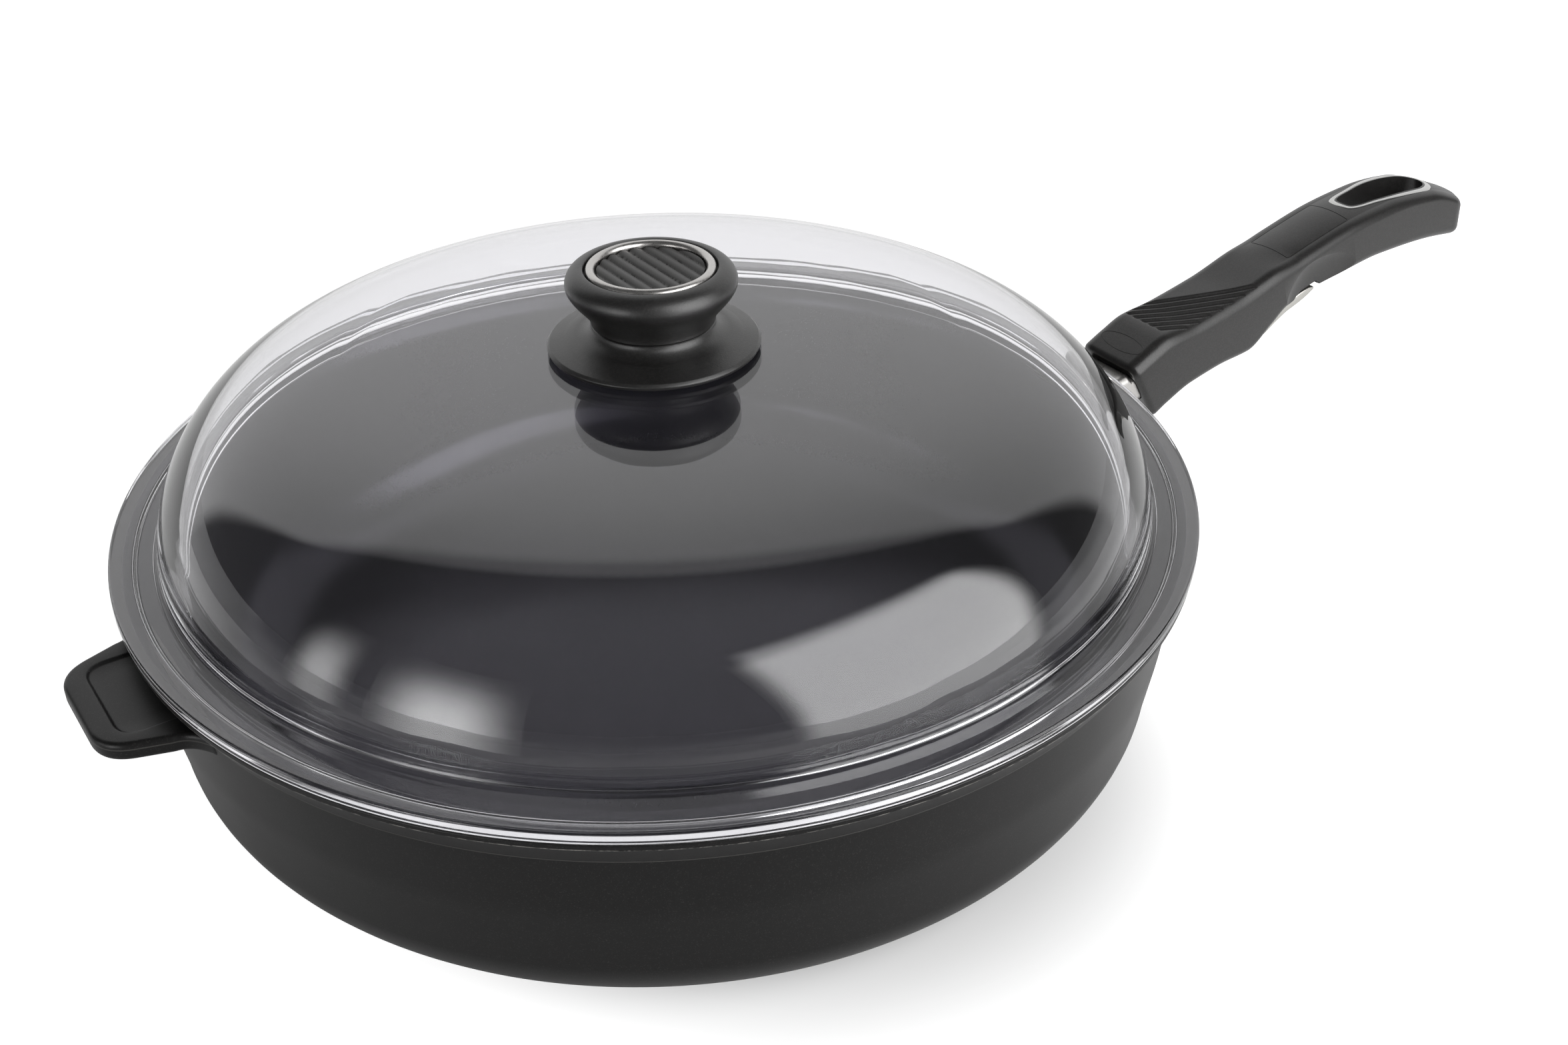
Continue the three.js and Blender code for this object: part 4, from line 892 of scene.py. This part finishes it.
def leverOutline(size):          # eye, nose and the front of the blade
    join, noseUp = size["joinTo"], size["leafUnder"] - 0.3
    bend = [(size["nose"] + along, noseUp + up) for along, up in size["noseBend"]]
    points = [(join, follow(size["low"], join) + 0.1), (join, size["joinTop"])]
    points += eyeArc(size, 0.45, math.pi * 0.62)
    points += [curve(*bend, k / 5) for k in range(6)]
    points += eyeArc(size, math.pi * 0.9, math.pi * 1.35)
    return points + [size["low"][0]]


def paddleOutline(size):         # wide rear of the blade with a rounded end
    low, rising, front, count = size["low"], size["high"][::-1], size["paddleFrom"], size["points"]
    (endX, endLow), endHigh = low[-1], rising[-1][1]
    alongs = [blend(front, endX, k / count) for k in range(count + 1)]
    points = [(along, follow(low, along)) for along in alongs]
    for k in range(1, 6):
        angle = -math.pi / 2 + math.pi * k / 6
        points.append((endX + (size["tip"] - endX) * math.cos(angle),
                       (endLow + endHigh) / 2 + (endHigh - endLow) / 2 * math.sin(angle)))
    for k in range(count, -1, -1):
        along = blend(rising[0][0], rising[-1][0], k / count)
        points.append((along, follow(rising, along)))
    return points + [(front, rising[0][1])]


def leverMesh(size):
    mesh = sidePush("leverBlade", leverOutline(size), 2 * size["half"], size["bladeRound"])
    joined = bmesh.new()
    joined.from_mesh(mesh)
    joined.from_mesh(sidePush("paddle", paddleOutline(size), 2 * size["paddleHalf"], size["paddleRound"]))
    bmesh.ops.transform(joined, matrix=gripFrame, verts=joined.verts)
    joined.to_mesh(mesh)
    joined.free()
    return mesh


def pinBore(size):
    radius, (px, pz) = size["pinRadius"] * mm, size["pivot"]
    bm = bmesh.new()
    bmesh.ops.create_cone(bm, cap_ends=True, segments=48, radius1=radius, radius2=radius,
                          depth=size["pinLength"] * mm)
    turn = Matrix.Translation((px * mm, 0, pz * mm)) @ Matrix.Rotation(math.pi / 2, 4, "X")
    bmesh.ops.transform(bm, verts=bm.verts, matrix=gripFrame @ turn)
    return bpy.data.objects.new("pinBore", meshFrom("pinBore", bm))


leverBlade = place("leverBlade", leverMesh(leverSize), "lever", ["release_lever"], "pressed_steel",
                   steels["pressedSteel"])
cutAway(leverBlade, [pinBore(leverSize)])
dressNode("lever_pin", steels["pressedSteel"])
dressNode("catch_spring", steels["springSteel"])
print("lever:", len(leverBlade.data.polygons), "faces")


# lid glass

glassSize = {
    "radius": 164.0, "flangeTop": 77.8, "flangeUnder": 73.8, "foot": 150.0, "crown": 122.6, "thick": 4.0,
    "square": 6.3, "roundness": 1.7,
    "innerSquare": 7.6, "innerRoundness": 1.85,      # squarer inside, so that the wall stays even
    "fillet": 4.5, "stepOuter": 157.2, "stepInner": 151.6, "stepFoot": 70.8, "stepLean": 0.6, "edge": 1.2,
    "stepRounds": (0.8, 1.2, 2.2, 3.0), "hole": 4.0, "flatShare": 0.62, "flatSteps": 12, "turnSteps": 60,
    "steps": 320, "wave": 0.05, "waveFrom": (140, 150), "waveTo": (163.9, 162.0),
}


def domeLine(size, foot, base, top, lowest, square, roundness):       # crown to foot
    flat, flatSteps, turnSteps = size["flatShare"], size["flatSteps"], size["turnSteps"]
    start = math.asin(flat ** (square / 2))
    turns = [blend(start, math.pi / 2, k / turnSteps) for k in range(1, turnSteps + 1)]
    out = [k / flatSteps * flat * foot for k in range(1, flatSteps + 1)]
    out += [foot * math.sin(angle) ** (2 / square) for angle in turns]
    line = [(r, base + (top - base) * max(0.0, 1 - (r / foot) ** square) ** (1 / roundness)) for r in out]
    return [p for p in line if p[0] > size["hole"] * 2 and p[1] > lowest]


def glassOutline(size):
    top, under, edge, foot = size["flangeTop"], size["flangeUnder"], size["edge"], size["foot"]
    crown, innerFoot = size["crown"], size["foot"] - size["thick"]
    crownUnder = crown - size["thick"]
    outer = domeLine(size, foot, top, crown, top + size["fillet"] * 0.8, size["square"], size["roundness"])
    inner = domeLine(size, innerFoot, under, crownUnder, under + 0.5, size["innerSquare"],
                     size["innerRoundness"])
    rounds = size["stepRounds"]
    brim = roundCorners([
        (*outer[-1], 0), (foot, top, size["fillet"]), (size["radius"], top, edge),
        (size["radius"], under, edge), (size["stepOuter"], under, rounds[0]),
        (size["stepOuter"] - size["stepLean"], size["stepFoot"], rounds[1]),
        (size["stepInner"], size["stepFoot"], rounds[2]), (innerFoot, under, rounds[3]), (*inner[-1], 0),
    ], steps=9)
    return [(size["hole"], crown)] + outer[:-1] + brim + inner[-2::-1] + [(size["hole"], crownUnder)]


def glassWobble(radius, height, angle):              # pressed glass isn't quite true at its step and edge
    near = ease(radius, *glassSize["waveFrom"]) * ease(radius, *glassSize["waveTo"])
    spot = Vector((math.cos(angle) * 9, math.sin(angle) * 9, height * 0.35 + radius * 0.12))
    return near * glassSize["wave"] * noise.noise(spot)


domeMesh = turnedMesh("glassDome", glassOutline(glassSize), glassSize["steps"], 60, glassWobble)
glassDome = place("glassDome", domeMesh, "lid", ["lid_glass"], "lid_glass", pressedGlass)
glassDome.visible_shadow = False     # light passes into the pan
print("lid glass:", len(glassDome.data.polygons), "faces")


# knob stack on the crown

knobSize = {
    "seat": 124.2, "seam": 130.8, "foot": 131.1, "top": 148.4, "flange": 31.8, "flangeEdge": 1.9, "skirt": 0.8,
    "collar": 18.3, "slope": 3.0, "sweep": 5.6, "waist": 18.5, "cap": 25.3, "widest": 143.3, "lip": 147.9,
    "pocket": 19.65, "stop": 16.1, "trimFoot": 145.9, "insertFoot": 144.5, "insertTop": 147.1,
    "trimOuter": 19.15, "trimBand": 2.85, "trimCrest": 1.45, "steps": 160, "baseBore": 4.0,
    "bore": 5.9, "gap": 0.3, "ribPitch": 4.0, "ribShift": 2.0, "ribHeight": 0.9, "ribTurn": 1.0,
    "ribRings": 60, "ribSteps": 180, "ribLean": 0.8, "ribFull": 0.75,
}


def knobBaseOutline(size):
    seat, edge, flange = size["seat"], size["seat"] - size["skirt"], size["flange"]
    rise, bore = seat + size["slope"], size["baseBore"]
    sweep = quarterArc((size["collar"] + size["sweep"], rise), (size["collar"], size["seam"] - 0.25), 10, True)
    corners = [
        (bore, seat, 0), (15.0, seat, 1), (flange - 2.4, seat + 0.5, 0.5), (flange - 1.6, edge, 0.4),
        (flange - 0.3, edge, 0.4), (flange, edge + size["flangeEdge"] * 0.55, 0.5),
        (flange - 0.8, edge + size["flangeEdge"], 0.7), (flange - 5, rise - 0.9, 6), (*sweep[0], 0),
    ]
    seam = [(size["collar"] - 0.3, size["seam"]), (bore, size["seam"])]
    return roundCorners(corners, steps=5)[:-1] + sweep + seam


def knobCapOutline(size):
    pocket, stop, bore, foot = size["pocket"], size["stop"], size["bore"], size["foot"]
    trimSeat, insertSeat = size["trimFoot"] - size["gap"], size["insertFoot"] - size["gap"]
    flank = []
    for t in (k / 24 for k in range(25)):
        flank.append((blend(size["waist"], size["cap"], ease(t, 0, 1)), blend(foot + 0.3, size["widest"], t)))
    crown = quarterArc((size["cap"], size["widest"]), (pocket + 0.55, size["lip"]), 14, False)[1:]
    inside = [(pocket + 0.2, size["lip"] - 0.1), (pocket, size["lip"] - 0.4), (pocket, trimSeat),
              (stop, trimSeat), (stop, insertSeat), (bore, insertSeat)]
    return [(bore, foot), (size["waist"] - 0.3, foot)] + flank + crown + inside


def trimOutline(size):
    outer, half, crest = size["trimOuter"], size["trimBand"] / 2, size["trimCrest"]
    out = [(outer - 2 * half, size["trimFoot"]), (outer, size["trimFoot"])]
    for angle in (math.pi * k / 16 for k in range(17)):
        out.append((outer - half + math.cos(angle) * half, size["top"] - crest + math.sin(angle) * crest))
    return out


def insertMesh(size):            # disc with rounded ribs and sharp valleys
    bm = bmesh.new()
    radius, turn = size["stop"] - size["gap"], math.radians(size["ribTurn"])
    rings = []
    for i in range(size["ribRings"] + 1):
        r = radius * i / size["ribRings"]
        ring = []
        for k in range(1 if i == 0 else size["ribSteps"]):
            angle = k / size["ribSteps"] * math.tau
            x, y = r * math.cos(angle), r * math.sin(angle)
            across = (x * math.cos(turn) + y * math.sin(turn) + size["ribShift"]) / size["ribPitch"]
            share = across - math.floor(across)
            lift = math.sin(math.pi * share ** size["ribLean"]) ** size["ribFull"]
            ring.append((x, y, size["insertTop"] - size["ribHeight"] * (1 - lift)))
        rings.append(ring)
    rings.append([(x, y, size["insertFoot"]) for x, y, z in rings[-1]])
    made = [ringOf(bm, ring) for ring in rings]
    joinRings(bm, made, capped=False)
    bm.faces.new(made[-1])
    return meshFrom("ribbedInsert", bm, 60)


stackSize = {                    # (inner radius, outer radius, foot, top) of what clamps the glass
    "seal": (4.0, 14.0, 122.9, 123.9), "lowerSeal": (2.6, 12.0, 117.3, 118.3),
    "washer": (2.6, 11.0, 115.5, 117.0),
    "screwHead": 6.5, "headFoot": 112.2, "headTop": 115.2, "shank": 2.2, "shankTop": 138.9,
    "slotReach": 3.4, "slotHalf": 0.55, "slotFoot": 111.0, "slotTop": 113.7,
}


def washerMesh(name, inner, outer, foot, top):
    corners = [(inner, foot, 0.2), (outer, foot, 0.35), (outer, top, 0.35), (inner, top, 0.2)]
    return turnedMesh(name, roundCorners(corners, closed=True, steps=4), 96)


def screwOutline(size):
    head, shank = size["screwHead"], size["shank"]
    return roundCorners([
        (0, size["headFoot"], 0), (head, size["headFoot"], 2.4), (head, size["headTop"], 0.3),
        (shank, size["headTop"], 0.2), (shank, size["shankTop"], 0.6), (0, size["shankTop"], 0)], steps=6)


def slotCutters(size):           # cross slot in the screw's head
    long, thin, low, high = size["slotReach"], size["slotHalf"], size["slotFoot"], size["slotTop"]
    return [boxCutter(name, (-x, -y, low), (x, y, high))
            for name, x, y in (("slotA", long, thin), ("slotB", thin, long))]


turnSteps = knobSize["steps"]
place("knobFlange", turnedMesh("knobFlange", knobBaseOutline(knobSize), turnSteps), "lid", ["knob_base"],
      "knob_moulding", knobMoulding)
place("knobCap", turnedMesh("knobCap", knobCapOutline(knobSize), turnSteps), "lid", ["knob_grip"],
      "knob_moulding", knobMoulding)
place("trimRing", turnedMesh("trimRing", trimOutline(knobSize), turnSteps), "lid", ["knob_trim_ring"],
      "satin_steel", steels["satinSteel"])
place("ribbedInsert", insertMesh(knobSize), "lid", ["knob_insert"], "insert_moulding", insertMoulding)
place("knobSeal", washerMesh("knobSeal", *stackSize["seal"]), "lid", ["knob_seal"], "seal_rubber", sealRubber)
place("lowerSeal", washerMesh("lowerSeal", *stackSize["lowerSeal"]), "lid", ["knob_lower_seal"], "seal_rubber",
      sealRubber)
place("knobWasher", washerMesh("knobWasher", *stackSize["washer"]), "lid", ["knob_washer"], "zinc_steel",
      steels["zincSteel"])
knobScrew = place("knobScrew", turnedMesh("knobScrew", screwOutline(stackSize), 64), "lid", ["knob_screw"],
                  "zinc_steel", steels["zincSteel"])
cutAway(knobScrew, slotCutters(stackSize))
dressNode("knob_thread_insert", steels["bushBrass"])
print("knob stack made")


# stage, light and camera

stageLook = {                    # metres
    # the middle, the two radii and the near glow paint a soft shadow round the pan's foot, off-centre to the
    # front right
    "size": 7.0, "drop": 0.0002, "floor": (0.5, 0.5, 0.5), "rough": 0.9, "middle": (0.015, -0.065, 0.0),
    "nearRadius": 0.07, "farRadius": 0.15, "paintedShadowGlow": 0.26, "farGlow": 0.93,
    "facing": 56.0, "behindFrom": -0.25, "behindTo": 0.15, "mirrored": 0.6,  # bright behind the pan
}


def floorFinish(look):           # pale floor that keeps its shadow and goes white further out
    finish, tree, bsdf = startFinish("paleFloor")
    coords = objectCoords(tree)
    away = vectorOf(tree, "DISTANCE", coords, look["middle"])
    # painted shadow: the glow the camera sees is lower near the pan, on top of the floor's real shadow
    glowWithPaintedShadow = rangeOf(tree, away, look["nearRadius"], look["farRadius"], look["paintedShadowGlow"], look["farGlow"], True)
    angle = math.radians(look["facing"])
    behind = vectorOf(tree, "DOT_PRODUCT", coords, (math.cos(angle), math.sin(angle), 0))
    mirrored = rangeOf(tree, behind, look["behindFrom"], look["behindTo"], 0, look["mirrored"], True)
    path = addNode(tree, "LightPath", {}).outputs
    straight = mathOf(tree, "MULTIPLY", glowWithPaintedShadow, path["Is Camera Ray"])
    turned = mathOf(tree, "MAXIMUM", path["Is Glossy Ray"], path["Is Transmission Ray"])
    turned = mathOf(tree, "MULTIPLY", mirrored, turned)
    feed(tree, bsdf, {
        "Base Color": look["floor"], "Roughness": look["rough"], "Specular IOR Level": 0.0,
        "Emission Strength": mathOf(tree, "ADD", straight, turned), "Emission Color": (1, 1, 1),
    })
    return finish


floorMesh = bmesh.new()
bmesh.ops.create_grid(floorMesh, x_segments=8, y_segments=8, size=stageLook["size"])
floorObj = bpy.data.objects.new("floor", meshFrom("floor", floorMesh))
floorObj.data.materials.append(floorFinish(stageLook))
floorObj.location.z = -stageLook["drop"]
scene.collection.objects.link(floorObj)

wallLook = {"facing": 56.0, "height": 1.8, "edge": 0.22, "sideFrom": 1.5, "sideTo": 1.95,
            "wall": 1.0, "dim": 0.1}


def studioWorld(look):           # a lit white wall behind the pan, a dim room round it
    world = bpy.data.worlds.new("studio")
    scene.world = world
    world.use_nodes = True
    tree = world.node_tree
    way = addNode(tree, "TexCoord", {}).outputs["Generated"]
    angle = math.radians(look["facing"])
    facing = vectorOf(tree, "DOT_PRODUCT", way, (math.cos(angle), math.sin(angle), 0))
    toward = mathOf(tree, "MAXIMUM", facing, 0.001)
    up = addNode(tree, "SeparateXYZ", {"Vector": way}).outputs["Z"]
    high = mathOf(tree, "DIVIDE", up, toward)
    under = rangeOf(tree, high, look["height"] - look["edge"], look["height"] + look["edge"], 1, 0, True)
    across = vectorOf(tree, "DOT_PRODUCT", way, (-math.sin(angle), math.cos(angle), 0))
    aside = mathOf(tree, "ABSOLUTE", mathOf(tree, "DIVIDE", across, toward))
    within = rangeOf(tree, aside, look["sideFrom"], look["sideTo"], 1, 0, True)
    level = rangeOf(tree, mathOf(tree, "MULTIPLY", under, within), 0, 1, look["dim"], look["wall"])
    seen = addNode(tree, "LightPath", {}).outputs["Is Camera Ray"]
    strength = mathOf(tree, "MAXIMUM", level, seen)
    feed(tree, tree.nodes["Background"], {"Strength": strength, "Color": (1, 1, 1)})


studioWorld(wallLook)

lampLooks = {                    # degrees seen from the pan, distance and size in metres, radiance
    "rightBox": {"azimuth": -69, "elevation": 17, "distance": 0.85, "width": 0.98, "height": 1.3,
                 "level": 4.5, "edge": 0.12},
    "leftBox": {"azimuth": -163, "elevation": 0, "distance": 0.9, "width": 0.5, "height": 0.9,
                "level": 6.0, "edge": 0.45},
    "sideBox": {"azimuth": 170, "elevation": 3, "distance": 0.9, "width": 0.24, "height": 0.8,
                "level": 3.2, "edge": 0.45},
}
lampAim = Vector((0, 0, 0.09))
lampRim = 0.05                   # what is left of the light at a box's edge


def softBox(name, look):
    lamp = bpy.data.lights.new(name, "AREA")
    lamp.shape = "RECTANGLE"
    lamp.size, lamp.size_y = look["width"], look["height"]
    lamp.energy = look["level"] * math.pi * look["width"] * look["height"]
    lamp.use_nodes = True
    tree = lamp.node_tree
    spot = addNode(tree, "NewGeometry", {}).outputs["Parametric"]
    parts = addNode(tree, "SeparateXYZ", {"Vector": spot}).outputs
    fades = []
    for key in "XY":
        off = mathOf(tree, "ABSOLUTE", mathOf(tree, "SUBTRACT", parts[key], 0.5))
        fades.append(rangeOf(tree, off, 0.5 - look["edge"], 0.5, 1, lampRim, True))
    feed(tree, tree.nodes["Emission"], {"Strength": mathOf(tree, "MULTIPLY", *fades)})
    obj = bpy.data.objects.new(name, lamp)
    a, e = math.radians(look["azimuth"]), math.radians(look["elevation"])
    way = Vector((math.cos(a) * math.cos(e), math.sin(a) * math.cos(e), math.sin(e)))
    obj.location = lampAim + way * look["distance"]
    obj.rotation_euler = (lampAim - obj.location).to_track_quat("-Z", "Y").to_euler()
    obj.visible_camera = False
    scene.collection.objects.link(obj)


for lampName, lampLook in lampLooks.items():
    softBox(lampName, lampLook)

cameraLook = {"place": (-0.23128, -0.40879, 0.35306), "aim": (0.017, -0.0426, 0.0758), "lens": 40.085,
              "roll": -0.5, "sensor": 36.0, "nearest": 0.01}
lens = bpy.data.cameras.new("photoCamera")
lens.lens = cameraLook["lens"]
lens.sensor_width = cameraLook["sensor"]
lens.sensor_fit = "HORIZONTAL"
lens.clip_start = cameraLook["nearest"]
camera = bpy.data.objects.new("photoCamera", lens)
camera.location = cameraLook["place"]
facingWay = (Vector(cameraLook["aim"]) - camera.location).to_track_quat("-Z", "Y").to_matrix()
camera.rotation_euler = (facingWay @ Matrix.Rotation(math.radians(cameraLook["roll"]), 3, "Z")).to_euler()
scene.collection.objects.link(camera)
scene.camera = camera
print("stage, lamps and camera set")
